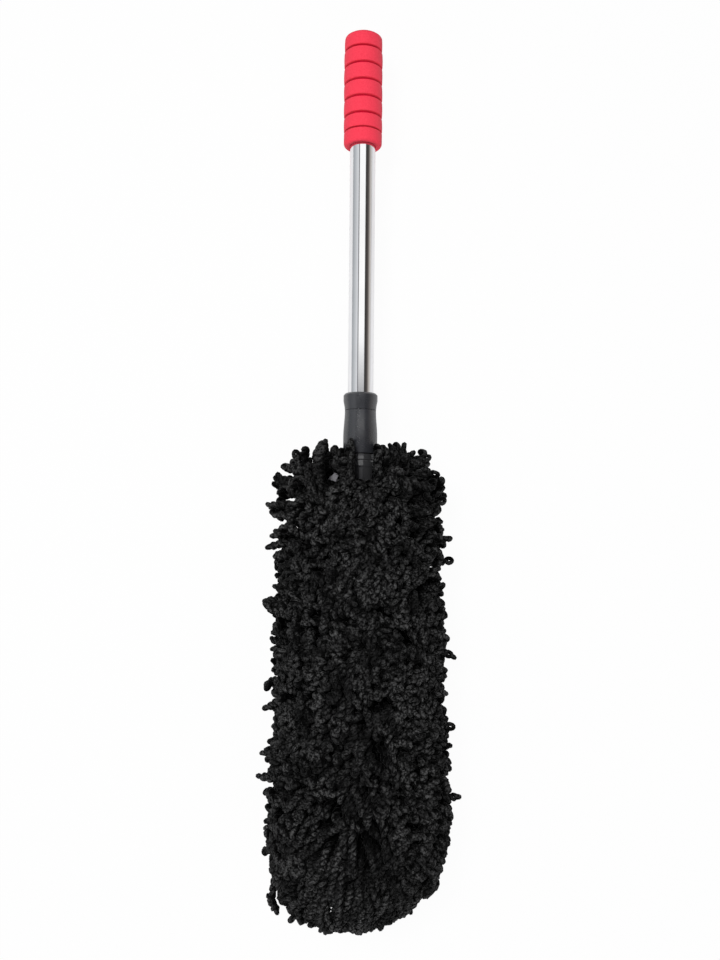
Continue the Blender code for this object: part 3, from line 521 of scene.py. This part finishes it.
def yarn_tubes(loops, way_out, along, middle, shares, rng):
    """Closed tubes round the yarn's paths, uneven in thickness.

    Layer "yarn" runs along and round the tube. Layer "depth" has how high a point lies on its strand, and how
    near it is to the head's outline, from which the material paints light and shade.
    """
    count, rings = loops.shape[:2]
    each = (count, 1)
    across, other = carried_frames(loops)[1:]
    at = np.arange(rings)[None]
    uneven = 1 + 0.09 * np.sin(at * rng.uniform(0.5, 0.9, each) + rng.uniform(0, 6, each))
    uneven += 0.14 * np.sin(at * rng.uniform(1.3, 1.8, each) + rng.uniform(0, 6, each))
    uneven *= rng.uniform(0.90, 1.08, each)
    uneven = np.maximum(uneven, 0.95 * (shares > 0.94))
    angles = 2 * math.pi * np.arange(PLY_SIDES) / PLY_SIDES
    ring = np.cos(angles)[:, None] * across[:, :, None] + np.sin(angles)[:, None] * other[:, :, None]
    points = loops[:, :, None] + PLY_RADIUS * uneven[..., None, None] * ring
    run = np.broadcast_to(at[..., None], (count, rings, PLY_SIDES))
    round_it = np.broadcast_to(np.arange(PLY_SIDES) / PLY_SIDES, run.shape)
    height = height_on_strand(points, ring, loops, way_out, along, middle, shares)
    layers = {
        "yarn": np.stack([run * 0.35, round_it], -1).reshape(-1, 2),
        "depth": np.stack([height.ravel(), nearness(points, shares, rng).ravel()], -1),
    }
    return points.reshape(-1, 3), *tube_faces(count, rings), layers


def yarn_piece(name, points, quads, caps, layers, material):
    """A smooth piece of the mop head from arrays, with the layers that its material reads."""
    mesh = bpy.data.meshes.new(name)
    sizes = [4] * len(quads) + [PLY_SIDES] * len(caps)
    corners = np.concatenate([quads.ravel(), caps.ravel()]).astype(np.int32)
    mesh.vertices.add(len(points))
    mesh.vertices.foreach_set("co", points.astype(np.float32).ravel())
    mesh.loops.add(len(corners))
    mesh.loops.foreach_set("vertex_index", corners)
    mesh.polygons.add(len(sizes))
    mesh.polygons.foreach_set("loop_start", (np.cumsum(sizes) - sizes).astype(np.int32))
    mesh.polygons.foreach_set("use_smooth", np.full(len(sizes), True))
    for layer, values in layers.items():
        values = values[corners].astype(np.float32)
        mesh.uv_layers.new(name=layer).uv.foreach_set("vector", values.ravel())
    mesh.update(calc_edges=True)
    return add_piece(name, mesh, "mop_head", material)


def make_strands(material):
    """All strands of the head, in one piece for each band of the sleeve and one for the tip."""
    rng = np.random.default_rng(STRAND_SEED)
    roots, leaving, parts = strand_roots(rng)
    stray = (np.arange(len(roots)) % STRAY_EVERY == 0) & (leaving[:, 2] < 0.75)
    paths = settle(roots, leaving, stray, rng)
    paths[:, 0] -= leaving * 0.0012
    for part in range(BAND_COUNT + 1):
        own = parts == part
        points, quads, caps, layers = yarn_tubes(*twisted_loops(paths[own], stray[own], rng), rng)
        points[:, 2] = np.maximum(points[:, 2], 0.0)
        name = "strands_tip" if part == BAND_COUNT else f"strands_{part + 1:02d}"
        piece = yarn_piece(name, points, quads, caps, layers, material)
        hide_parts("yarn_tip" if part == BAND_COUNT else f"yarn_band_{part + 1:02d}")


# Turned and swept pieces


def filleted(profile, radius, steps=3):
    """A closed profile with round corners, and a point beside each so that its straights shade straight."""
    made = []
    for i, point in enumerate(profile):
        here = Vector(point)
        into, out = Vector(profile[i - 1]) - here, Vector(profile[(i + 1) % len(profile)]) - here
        if abs(into.angle(out) - math.pi) < 0.12:
            made.append(here)
            continue
        cut = min(radius, into.length * 0.45, out.length * 0.45)
        start, end = here + into.normalized() * cut, here + out.normalized() * cut
        made.append(here + into.normalized() * min(cut * 1.4, into.length * 0.48))
        for k in range(steps + 1):
            t = k / steps
            made.append((1 - t) ** 2 * start + 2 * t * (1 - t) * here + t**2 * end)
        made.append(here + out.normalized() * min(cut * 1.4, out.length * 0.48))
    return made


def finish_mesh(bm, name, body, material, angle=35):
    """Turns a bmesh into a piece with soft shading and sharp edges over the angle given."""
    bmesh.ops.recalc_face_normals(bm, faces=bm.faces)
    for face in bm.faces:
        face.smooth = True
    for edge in bm.edges:
        if len(edge.link_faces) == 2 and edge.calc_face_angle() > math.radians(angle):
            edge.smooth = False
    mesh = bpy.data.meshes.new(name)
    bm.to_mesh(mesh)
    bm.free()
    return add_piece(name, mesh, body, material)


def join_rings(bm, near, far):
    """Faces between two rings of points. A ring of one point is the middle of an end."""
    count = max(len(near), len(far))
    for i in range(count):
        after = (i + 1) % count
        corners = [near[i % len(near)], near[after % len(near)], far[after % len(far)], far[i % len(far)]]
        bm.faces.new(list(dict.fromkeys(corners)))


def lathe(name, profile, sides, body, material, ripple=None):
    """Turns a profile of (radius, station) about the pole. A profile off the axis is closed in itself."""
    bm = bmesh.new()
    rings = []
    for radius, station in profile:
        ring = []
        for i in range(sides if radius > 0 else 1):
            angle = 2 * math.pi * i / sides
            size = radius + (ripple(angle, station, radius) if ripple else 0)
            ring.append(bm.verts.new((size * math.sin(angle), station, AXIS_HEIGHT + size * math.cos(angle))))
        rings.append(ring)
    closing = [(rings[-1], rings[0])] if profile[0][0] > 0 else []
    for near, far in [*zip(rings, rings[1:]), *closing]:
        join_rings(bm, near, far)
    return finish_mesh(bm, name, body, material)


def refined(node, name, body, material, bevel=0.0):
    """A copy of a CAD node with joined faces, eased edges and soft shading, which stands for it."""
    bm = bmesh.new()
    bm.from_mesh(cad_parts[node].data)
    bmesh.ops.remove_doubles(bm, verts=bm.verts, dist=0.000002)
    bmesh.ops.dissolve_limit(bm, angle_limit=math.radians(0.5), verts=bm.verts, edges=bm.edges)
    if bevel:
        sharp = [e for e in bm.edges if len(e.link_faces) == 2 and e.calc_face_angle() > math.radians(40)]
        bmesh.ops.bevel(
            bm, geom=sharp, offset=bevel, segments=2, profile=0.5, affect="EDGES", clamp_overlap=True
        )
    piece = finish_mesh(bm, name, body, material)
    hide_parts(node)


def arc(x, y, radius, start, end, count):
    """Profile points on a round corner between two angles. Angle 0 points away from the axis."""
    return [(x + radius * math.cos(a), y + radius * math.sin(a)) for a in np.linspace(start, end, count)]


def make_grip(material):
    """The foam grip: seven slightly crowned rings between six grooves, with round ends and a closed top."""
    quarter = math.pi / 2
    rounding, crown, floor_half, top_wall = 0.003, 0.00018, 0.0006, 0.005
    groove_half, last_groove_half = 0.0022 / 2 + GRIP_EDGE, 0.0022 / 3 + GRIP_EDGE
    grooves_from_top = (0.0133, 0.0276, 0.0419, 0.0562, 0.0705, 0.0831)
    floor, edge_middle = GRIP_RADIUS - GROOVE_DEPTH, GRIP_RADIUS - GRIP_EDGE
    profile = [(0, GRIP_TOP)]
    profile += arc(GRIP_RADIUS - rounding, GRIP_TOP - rounding, rounding, quarter - 0.05, 0, 8)
    previous = GRIP_TOP - rounding
    for from_top in grooves_from_top:
        groove = GRIP_TOP - from_top
        half = last_groove_half if from_top == grooves_from_top[-1] else groove_half
        above, below = groove + half, groove - half
        for share in (0.25, 0.5, 0.75):
            bulge = crown * math.sin(math.pi * share)
            profile.append((GRIP_RADIUS + bulge, previous + (above - previous) * share))
        profile += arc(edge_middle, above, GRIP_EDGE, 0, -quarter, 6)
        profile += [(floor, groove + floor_half), (floor, groove - floor_half)]
        profile += arc(edge_middle, below, GRIP_EDGE, quarter, 0, 6)
        previous = below
    profile += arc(GRIP_RADIUS - rounding, GRIP_BOTTOM + rounding, rounding, 0, -quarter, 8)
    hole = 0.0113
    profile += [(hole + 0.0005, GRIP_BOTTOM + 0.0001), (hole + 0.0001, GRIP_BOTTOM + 0.0003)]
    profile += [(hole, GRIP_BOTTOM + 0.0007), (hole, GRIP_TOP - top_wall), (0, GRIP_TOP - top_wall)]

    def ripple(angle, station, radius):
        """The foam's waves. Its first ring is a little slimmer, and its inside is smooth."""
        if radius < hole + 0.0012:
            return 0
        wave = math.sin(3 * angle + 90 * station) + math.sin(5 * angle - 210 * station + 1)
        first_ring = 0.0004 if station > GRIP_TOP - 0.0130 else 0
        return 0.00006 * wave - 0.00006 - first_ring

    grip = lathe("foam_grip_sleeve", profile, 128, "handle", material, ripple)
    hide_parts("foam_grip")


def tube(name, node, radius, body, chrome):
    """A tube as long as its CAD node, with softened rims."""
    bottom, top = span_of(node)
    bore = radius - TUBE_WALL
    profile = [(radius, top), (radius, bottom), (bore, bottom), (bore, top)]
    return lathe(name, filleted(profile, 0.0001, 2), 160, body, chrome)


def make_tubes(chrome):
    piece = tube("outer_tube_polished", "outer_tube", 0.011, "handle", chrome)
    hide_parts("outer_tube")
    piece = tube("inner_tube_polished", "inner_tube", 0.0095, "stem", chrome)
    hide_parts("inner_tube")


def make_collar(matte):
    """The turning collar, with its waist, swell, rim and inner cone."""
    waist, rim, bore, soft = 0.01355, 0.0148, 0.0129, 0.0002
    swell_length, steps = 0.023, 24
    cone_narrow, cone_wide, cone_bottom, cone_top = 0.0116, 0.0126, 0.0349, 0.0494
    profile = [(waist - soft, COLLAR_TOP), (waist, COLLAR_TOP - soft)]
    for i in range(1, steps + 1):
        swell = (1 - math.cos(math.pi * i / steps)) / 2
        profile.append((waist + (rim - waist) * swell, COLLAR_TOP - i / steps * swell_length))
    profile += [(rim, COLLAR_BOTTOM + 3 * soft), (rim - soft, COLLAR_BOTTOM + soft)]
    profile += [(rim - 3 * soft, COLLAR_BOTTOM), (POLE_HOLE, COLLAR_BOTTOM)]
    profile += [(POLE_HOLE, cone_bottom), (cone_narrow, cone_bottom)]
    profile += [(cone_wide, cone_top), (bore, cone_top), (bore, COLLAR_TOP)]
    piece = lathe("lock_collar_moulded", profile, 128, "collar", matte)
    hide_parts("lock_collar")


def make_neck(gloss):
    """The ferrule's two flared rings and its tapering lower part."""
    body, ring = 0.0121, 0.0127
    lip = ring - 0.0003
    profile = [(lip, NECK_TOP), (lip, NECK_TOP - 0.0024), (ring, NECK_TOP - 0.005)]
    profile += [(body, NECK_TOP - 0.0054), (body, NECK_TOP - 0.0060), (lip, NECK_TOP - 0.0064)]
    profile += [(ring, NECK_TOP - 0.0108), (body, NECK_TOP - 0.0118)]
    profile += [(body - 0.0006, NECK_BOTTOM), (POLE_HOLE, NECK_BOTTOM), (POLE_HOLE, NECK_TOP)]
    piece = lathe("neck_ferrule_moulded", filleted(profile, 0.0005), 128, "stem", gloss)
    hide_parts("neck_ferrule")


def oval_ring(bm, sides, offset, station, scale=1.0, gather=None):
    """A ring of points round the sleeve's oval, at an offset from its bore."""
    ring = []
    for i in range(sides):
        angle = 2 * math.pi * i / sides
        out = offset + (gather(angle, offset) if gather else 0)
        x = (BORE_HALF_WIDTH + out) * scale * math.cos(angle)
        z = (BORE_HALF_HEIGHT + out) * scale * math.sin(angle)
        ring.append(bm.verts.new((x, station, AXIS_HEIGHT + z)))
    return ring


def make_sleeve(material):
    """The knitted sleeve that carries the strands: an oval bag with a rounded closed end."""
    wall, end_depth = SLEEVE_WALL - 0.0002, 0.0156
    outside = [(wall, BANDS_TOP), (wall, BANDS_BOTTOM)]
    for a in np.linspace(0.2, 1.45, 8):
        outside.append((wall, BANDS_BOTTOM - end_depth * math.sin(a), math.cos(a)))
    inside = [(0.0, BANDS_BOTTOM - end_depth / 2, 0.75), (0.0, BANDS_BOTTOM), (0.0, BANDS_TOP)]
    bm = bmesh.new()
    outer = [oval_ring(bm, 96, *place) for place in outside]
    inner = [oval_ring(bm, 96, *place) for place in inside]
    for near, far in [*zip(outer, outer[1:]), *zip(inner, inner[1:]), (inner[-1], outer[0])]:
        join_rings(bm, near, far)
    bm.faces.new(outer[-1])
    bm.faces.new(inner[0])
    finish_mesh(bm, "knitted_sleeve", "mop_head", material, angle=60)


def make_hem(material):
    """The gathered tape at the sleeve's mouth, drawn in by the elastic in it."""
    wall, fold, seam, seam_half, seam_depth = SLEEVE_WALL, 0.0006, 0.0008, 0.0007, 0.0003
    profile = [(0, HEM_BOTTOM), (0, SLEEVE_MOUTH - 0.0005), (0.0005, SLEEVE_MOUTH)]
    profile += [(wall - fold, SLEEVE_MOUTH), (wall, SLEEVE_MOUTH - fold), (wall, seam + seam_half)]
    profile += [(wall - seam_depth, seam), (wall, seam - seam_half), (wall, HEM_BOTTOM)]

    def gather(angle, offset):
        if offset < 0.001:
            return 0
        return 0.00022 * (math.sin(46 * angle) + 0.4 * math.sin(17 * angle + 2)) - 0.0001

    bm = bmesh.new()
    rings = [oval_ring(bm, 368, *place, gather=gather) for place in profile]
    for near, far in zip(rings, rings[1:] + rings[:1]):
        join_rings(bm, near, far)
    piece = finish_mesh(bm, "sleeve_hem_gathered", "mop_head", material, angle=60)
    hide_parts("sleeve_hem", "hem_elastic")


def make_label(material):
    """A folded satin label, sewn in at the mouth, which curls up a little at its free end."""
    side = math.radians(152)
    offset, thickness = SLEEVE_WALL + 0.0006, 0.00072
    wide, high = BORE_HALF_WIDTH + offset, BORE_HALF_HEIGHT + offset
    place = Vector((wide * math.cos(side), 0.0020, AXIS_HEIGHT + high * math.sin(side)))
    outward = Vector((math.cos(side) / BORE_HALF_WIDTH, 0, math.sin(side) / BORE_HALF_HEIGHT)).normalized()
    across = Vector((outward.z, 0, -outward.x))
    columns, rows, half, length, short_side, slant = 14, 18, 0.00475, 0.0095, 0.0022, 0.0078
    bm = bmesh.new()

    def point_at(column, row, lift):
        u, v = column / columns, row / rows
        y = min(length, short_side + slant * u) * v
        rise = lift + 0.0011 * (y / length) ** 2 + 0.00025 * math.sin(5 * u + 3 * v)
        twist = 0.85 * min(max((y - 0.0015) / 0.004, 0), 1)
        way = across.lerp(Vector((1, 0, 0)), twist).normalized()
        return place + way * (-half + 2 * half * u) + Vector((0.0012 * twist, y, 0)) + outward * rise

    sheets = []
    for lift in (0.0, thickness):
        grid = [[bm.verts.new(point_at(c, r, lift)) for c in range(columns + 1)] for r in range(rows + 1)]
        for r in range(rows):
            for c in range(columns):
                bm.faces.new((grid[r][c], grid[r][c + 1], grid[r + 1][c + 1], grid[r + 1][c]))
        sheets.append(grid)
    rim = [(0, c) for c in range(columns)] + [(r, columns) for r in range(rows)]
    rim += [(rows, c) for c in range(columns, 0, -1)] + [(r, 0) for r in range(rows, 0, -1)]
    join_rings(bm, *[[sheet[r][c] for r, c in rim] for sheet in sheets])
    piece = finish_mesh(bm, "care_label_satin", "mop_head", material, angle=50)
    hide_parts("care_label")


# Materials


def grey(value):
    return (value,) * 3


class Nodes:
    """Short calls for building a tree of shader nodes."""

    def __init__(self, tree):
        self.tree = tree

    def add(self, kind, inputs=None, **settings):
        """Adds a node. An input is a value, or the socket that it is joined to."""
        node = self.tree.nodes.new(kind)
        for name, value in settings.items():
            setattr(node, name, value)
        for name, value in (inputs or {}).items():
            if isinstance(value, bpy.types.NodeSocket):
                self.tree.links.new(value, node.inputs[name])
            else:
                node.inputs[name].default_value = value
        return node

    def place(self, stretch=(1, 1, 1)):
        where = self.add("ShaderNodeTexCoord").outputs["Object"]
        return self.add("ShaderNodeMapping", {"Vector": where, "Scale": stretch}).outputs["Vector"]

    def noise(self, scale, vector=None, detail=3.0):
        inputs = {"Vector": vector or self.place(), "Scale": scale, "Detail": detail}
        return self.add("ShaderNodeTexNoise", inputs).outputs["Fac"]

    def ramp(self, value, stops):
        node = self.add("ShaderNodeValToRGB", {"Fac": value})
        elements = node.color_ramp.elements
        while len(elements) < len(stops):
            elements.new(0.5)
        for element, (at, colour) in zip(elements, stops):
            element.position = at
            element.color = (*colour, 1)
        return node.outputs["Color"]

    def ranged(self, value, start, end, low=0.0, high=1.0):
        inputs = {"Value": value, "From Min": start, "From Max": end, "To Min": low, "To Max": high}
        return self.add("ShaderNodeMapRange", inputs).outputs["Result"]

    def spread(self, noise, low, high):
        """A noise's usual range, spread from low to high."""
        return self.ranged(noise, 0.3, 0.7, low, high)

    def mixed(self, factor, first, second, blend="MIX"):
        inputs = {"Factor": factor, "A": first, "B": second}
        return self.add("ShaderNodeMix", inputs, data_type="RGBA", blend_type=blend).outputs["Result"]

    def bump(self, height, distance, strength=1.0, under=None):
        inputs = {"Height": height, "Distance": distance, "Strength": strength}
        if under is not None:
            inputs["Normal"] = under
        return self.add("ShaderNodeBump", inputs).outputs["Normal"]


class Material(Nodes):
    """A material with one principled shader."""

    def __init__(self, name, colour, roughness, metallic=0.0, sheen=0.0, specular=0.5):
        self.material = bpy.data.materials.new(name)
        self.material.use_nodes = True
        super().__init__(self.material.node_tree)
        self.shader = self.tree.nodes["Principled BSDF"]
        self.set(**{"Base Color": (*colour, 1), "Roughness": roughness, "Metallic": metallic})
        self.set(**{"Sheen Weight": sheen, "Specular IOR Level": specular})

    def set(self, **values):
        for name, value in values.items():
            self.shader.inputs[name].default_value = value

    def plug(self, name, socket):
        self.tree.links.new(socket, self.shader.inputs[name])

    def woven(self, scale, distortion, dark, pale, depth, strength):
        """Threads in bands along the pole, in colour and relief."""
        inputs = {"Vector": self.place(), "Scale": scale, "Distortion": distortion}
        threads = self.add("ShaderNodeTexWave", inputs, bands_direction="Y").outputs["Fac"]
        self.plug("Base Color", self.ramp(threads, [(0.2, dark), (0.8, pale)]))
        self.plug("Normal", self.bump(threads, depth, strength))


def chrome_material():
    m = Material("polished_chrome", (0.80, 0.80, 0.82), 0.07, 1.0)
    m.plug("Roughness", m.spread(m.noise(60, m.place((1, 0.12, 1))), 0.045, 0.11))
    m.plug("Base Color", m.ramp(m.noise(25), [(0.35, (0.93, 0.93, 0.94)), (0.65, (0.99, 0.99, 1.0))]))
    m.plug("Normal", m.bump(m.noise(900, m.place((1, 0.03, 1))), 0.00001, 0.25))
    return m.material


def foam_material():
    """Red foam rubber with fine cells, and painted shade that makes it darker and bluer in the grooves."""
    m = Material("red_foam_rubber", (0.86, 0.055, 0.085), 0.82, sheen=0.12, specular=0.2)
    m.set(**{"Sheen Roughness": 0.5, "Sheen Tint": (1.0, 0.55, 0.58, 1)})
    cells = m.add("ShaderNodeTexVoronoi", {"Vector": m.place(), "Scale": 2600.0}).outputs["Distance"]
    tint = [(0.30, (0.90, 0.044, 0.082)), (0.52, (0.94, 0.054, 0.094)), (0.72, (0.97, 0.064, 0.106))]
    # Painted shade in the grooves: darker and bluer as the radius falls towards a groove's floor, though not
    # on the bottom lip
    inputs = {"Vector": m.place((1, 0, 1)), "Location": (0, 0, -AXIS_HEIGHT)}
    across = m.add("ShaderNodeMapping", inputs).outputs["Vector"]
    radius = m.add("ShaderNodeVectorMath", {0: across}, operation="LENGTH").outputs["Value"]
    out = m.ranged(radius, GRIP_RADIUS - GROOVE_DEPTH, GRIP_RADIUS - GRIP_EDGE)
    station = m.add("ShaderNodeSeparateXYZ", {"Vector": m.place()}).outputs["Y"]
    lip = m.ranged(station, GRIP_BOTTOM + 0.008, GRIP_BOTTOM + 0.006)
    out = m.add("ShaderNodeMath", {0: out, 1: lip}, operation="MAXIMUM").outputs["Value"]
    groove = m.ramp(out, [(0.0, (0.64, 0.0, 0.36)), (1.0, grey(1))])
    m.plug("Base Color", m.mixed(1.0, m.ramp(m.noise(900, detail=5.0), tint), groove, "MULTIPLY"))
    m.plug("Roughness", m.spread(m.noise(240), 0.74, 0.90))
    under = m.bump(m.noise(700, detail=4.0), 0.00012, 0.5)
    m.plug("Normal", m.bump(cells, 0.00008, 0.45, under))
    return m.material


def moulded_material(name, colour, low, high, grain, specular=0.5):
    m = Material(name, colour, (low + high) / 2, specular=specular)
    pale = tuple(c * 1.16 for c in colour)
    m.plug("Base Color", m.ramp(m.noise(55), [(0.35, colour), (0.68, pale)]))
    m.plug("Roughness", m.spread(m.noise(130, detail=5.0), low, high))
    m.plug("Normal", m.bump(m.noise(1900), grain, 0.4))
    return m.material


def steel_material():
    m = Material("pin_steel", (0.55, 0.55, 0.56), 0.32, 1.0)
    m.plug("Roughness", m.spread(m.noise(300, m.place((1, 1, 0.1))), 0.25, 0.42))
    return m.material


def yarn_material():
    """Black microfibre yarn: fibres wound round each ply, with painted shade between the plies, deep among
    the strands and in patches.
    """
    m = Material("black_microfibre_yarn", grey(0.03), 0.90, sheen=0.03, specular=0.12)
    m.set(**{"Sheen Roughness": 0.45})
    where = m.add("ShaderNodeUVMap", uv_map="yarn").outputs["UV"]
    lean = m.add("ShaderNodeMapping", {"Vector": where, "Rotation": (0, 0, 0.5)})
    fibres = m.add("ShaderNodeMapping", {"Vector": lean.outputs["Vector"], "Scale": (2.2, 14, 1)})
    wound = m.noise(2.6, fibres.outputs["Vector"], 4.0)
    colour = m.ramp(wound, [(0.30, grey(0.036)), (0.52, grey(0.072)), (0.72, (0.142, 0.142, 0.141))])
    depth = m.add("ShaderNodeUVMap", uv_map="depth").outputs["UV"]
    depth = m.add("ShaderNodeSeparateXYZ", {"Vector": depth}).outputs
    # Painted light and shade: darker on the sides of each ply and strand, lighter on top and at the loops'
    # ends
    painted_crease_shade = m.ramp(depth["X"], [(0.50, grey(0.01)), (0.76, grey(0.09)), (0.96, grey(1))])
    # Painted shade: darker the deeper a point lies among the strands, lighter near the mouth and the tip
    painted_pile_shade = m.ramp(depth["Y"], [(0.0, grey(0.01)), (0.50, grey(0.10)), (0.95, grey(1))])
    # Painted shade in fine dark patches, which sharpen the lit lobes against the gaps
    painted_fine_shade = m.ramp(m.noise(560, detail=2.0), [(0.42, grey(0.08)), (0.61, grey(1))])
    # Painted shade in broad dark patches, for the shaded valleys between clumps of strands
    painted_patch_shade = m.ramp(m.noise(55, detail=2.0), [(0.36, grey(0.26)), (0.54, grey(1))])
    for layer in (painted_crease_shade, painted_pile_shade, painted_fine_shade, painted_patch_shade):
        colour = m.mixed(1.0, colour, layer, "MULTIPLY")
    m.plug("Base Color", colour)
    under = m.bump(m.noise(1500, detail=4.0), 0.00025, 0.5)
    m.plug("Normal", m.bump(wound, 0.0003, 0.7, under))
    return m.material


def knit_material():
    m = Material("black_knit", grey(0.012), 0.95, sheen=0.2, specular=0.1)
    m.woven(160.0, 1.0, grey(0.006), grey(0.018), 0.0005, 0.8)
    return m.material


def tape_material():
    m = Material("black_tape_weave", (0.022, 0.022, 0.023), 0.85, sheen=0.3, specular=0.2)
    m.woven(420.0, 0.4, (0.014, 0.014, 0.015), (0.030, 0.030, 0.031), 0.0002, 0.7)
    return m.material


def satin_material():
    m = Material("grey_satin_label", (0.28, 0.275, 0.29), 0.38, sheen=0.1, specular=0.4)
    m.set(**{"Anisotropic": 0.4})
    m.woven(900.0, 0.6, (0.205, 0.200, 0.215), (0.285, 0.280, 0.295), 0.00005, 0.6)
    return m.material


# Studio


def make_world():
    """White to the camera, and an even light. Gloss sees a soft box past the collar and a dark side."""
    world = bpy.data.worlds.new("studio")
    bpy.context.scene.world = world
    world.use_nodes = True
    world.node_tree.nodes.clear()
    m = Nodes(world.node_tree)
    where = m.add("ShaderNodeTexCoord").outputs["Generated"]
    way = m.add("ShaderNodeSeparateXYZ", {"Vector": where}).outputs
    angle = m.add("ShaderNodeMath", {0: way["X"], 1: way["Z"]}, operation="ARCTAN2").outputs["Value"]
    share = m.ranged(angle, -math.pi, math.pi)

    def round_pole(box):
        """What gloss sees by degrees round the pole from straight up, with the box in the colour given."""
        stops = [
            (-96, (0.40, 0.41, 0.43)),
            (-80, (0.38, 0.40, 0.42)),
            (-68, (0.46, 0.48, 0.50)),
            (-34, (0.70, 0.71, 0.73)),
            (-31, (0.20, 0.20, 0.21)),
            (-26, (0.12, 0.12, 0.13)),
            (-22, box),
            (27, box),
            (32, grey(0.03)),
            (58, (0.08, 0.07, 0.065)),
            (74, (0.36, 0.33, 0.31)),
            (90, (0.72, 0.69, 0.65)),
        ]
        return m.ramp(share, [((degrees + 180) / 360, colour) for degrees, colour in stops])

    box_end = m.ranged(way["Y"], 0.135, 0.208)
    sides = m.mixed(box_end, round_pole((0.20, 0.20, 0.21)), round_pole(grey(1)))
    rays = m.add("ShaderNodeLightPath").outputs
    gloss = m.mixed(rays["Is Glossy Ray"], (0.34, 0.34, 0.35, 1), sides)
    seen = m.mixed(rays["Is Camera Ray"], gloss, (1, 1, 1, 1))
    background = m.add("ShaderNodeBackground", {"Color": seen}).outputs["Background"]
    m.add("ShaderNodeOutputWorld", {"Surface": background})


def make_floor():
    """A large pale floor, a little brighter to the camera, which still shows the shadow."""
    bm = bmesh.new()
    bmesh.ops.create_grid(bm, x_segments=8, y_segments=8, size=12)
    mesh = bpy.data.meshes.new("studio_floor")
    bm.to_mesh(mesh)
    bm.free()
    floor = placed("studio_floor", mesh)
    material = bpy.data.materials.new("studio_floor_white")
    material.use_nodes = True
    material.node_tree.nodes.clear()
    m = Nodes(material.node_tree)
    diffuse = m.add("ShaderNodeBsdfDiffuse", {"Color": (*grey(0.80), 1)}).outputs["BSDF"]
    glow = m.add("ShaderNodeEmission").outputs["Emission"]
    camera_ray = m.add("ShaderNodeLightPath").outputs["Is Camera Ray"]
    part = m.add("ShaderNodeMath", {0: camera_ray, 1: 0.96}, operation="MULTIPLY").outputs["Value"]
    mix = m.add("ShaderNodeMixShader", {"Fac": part, 1: diffuse, 2: glow}).outputs["Shader"]
    m.add("ShaderNodeOutputMaterial", {"Surface": mix})
    mesh.materials.append(material)


def add_lamp(name, place, target, size, power):
    light = bpy.data.lights.new(name, "AREA")
    light.shape = "SQUARE"
    light.size = size
    light.energy = power
    lamp = placed(name, light)
    lamp.location = place
    lamp.rotation_euler = (Vector(target) - Vector(place)).to_track_quat("-Z", "Y").to_euler()
    lamp.visible_camera = False
    lamp.visible_glossy = False


def make_camera():
    camera = bpy.data.cameras.new("camera")
    camera.lens = 35.6
    camera.sensor_width = 36
    camera.shift_y = 0.0625
    thing = placed("camera", camera)
    thing.location = (0.0006, -0.048, 0.880)
    thing.rotation_euler = (0, 0, math.radians(0.5))
    bpy.context.scene.camera = thing


def main():
    make_camera()
    make_world()
    make_floor()
    add_lamp("key", (-0.32, 0.25, 1.4), (0, -0.05, 0.05), 0.4, 13.0)
    add_lamp("fill", (0.35, -1.2, 1.2), (0, -0.05, 0.05), 0.8, 6.0)

    chrome = chrome_material()
    matte = moulded_material("black_moulded_matte", (0.025, 0.026, 0.030), 0.24, 0.33, 0.00003, 1.0)
    gloss = moulded_material("black_moulded_gloss", (0.040, 0.040, 0.042), 0.08, 0.15, 0.00001, 1.0)
    pale = moulded_material("natural_moulded", (0.66, 0.66, 0.61), 0.42, 0.55, 0.00002)

    make_grip(foam_material())
    make_tubes(chrome)
    make_collar(matte)
    make_neck(gloss)
    refined("lock_base", "lock_base_moulded", "handle", matte)
    refined("tube_end_plug", "tube_end_plug_moulded", "handle", pale)
    refined("guide_plug", "guide_plug_moulded", "stem", pale)
    refined("frame_pin", "frame_pin_turned", "stem", steel_material())
    refined("head_frame", "head_frame_moulded", "stem", gloss, bevel=0.0004)
    make_sleeve(knit_material())
    make_hem(tape_material())
    make_label(satin_material())
    make_strands(yarn_material())

    bpy.context.scene.view_settings.view_transform = "Standard"
    bpy.context.view_layer.update()


main()
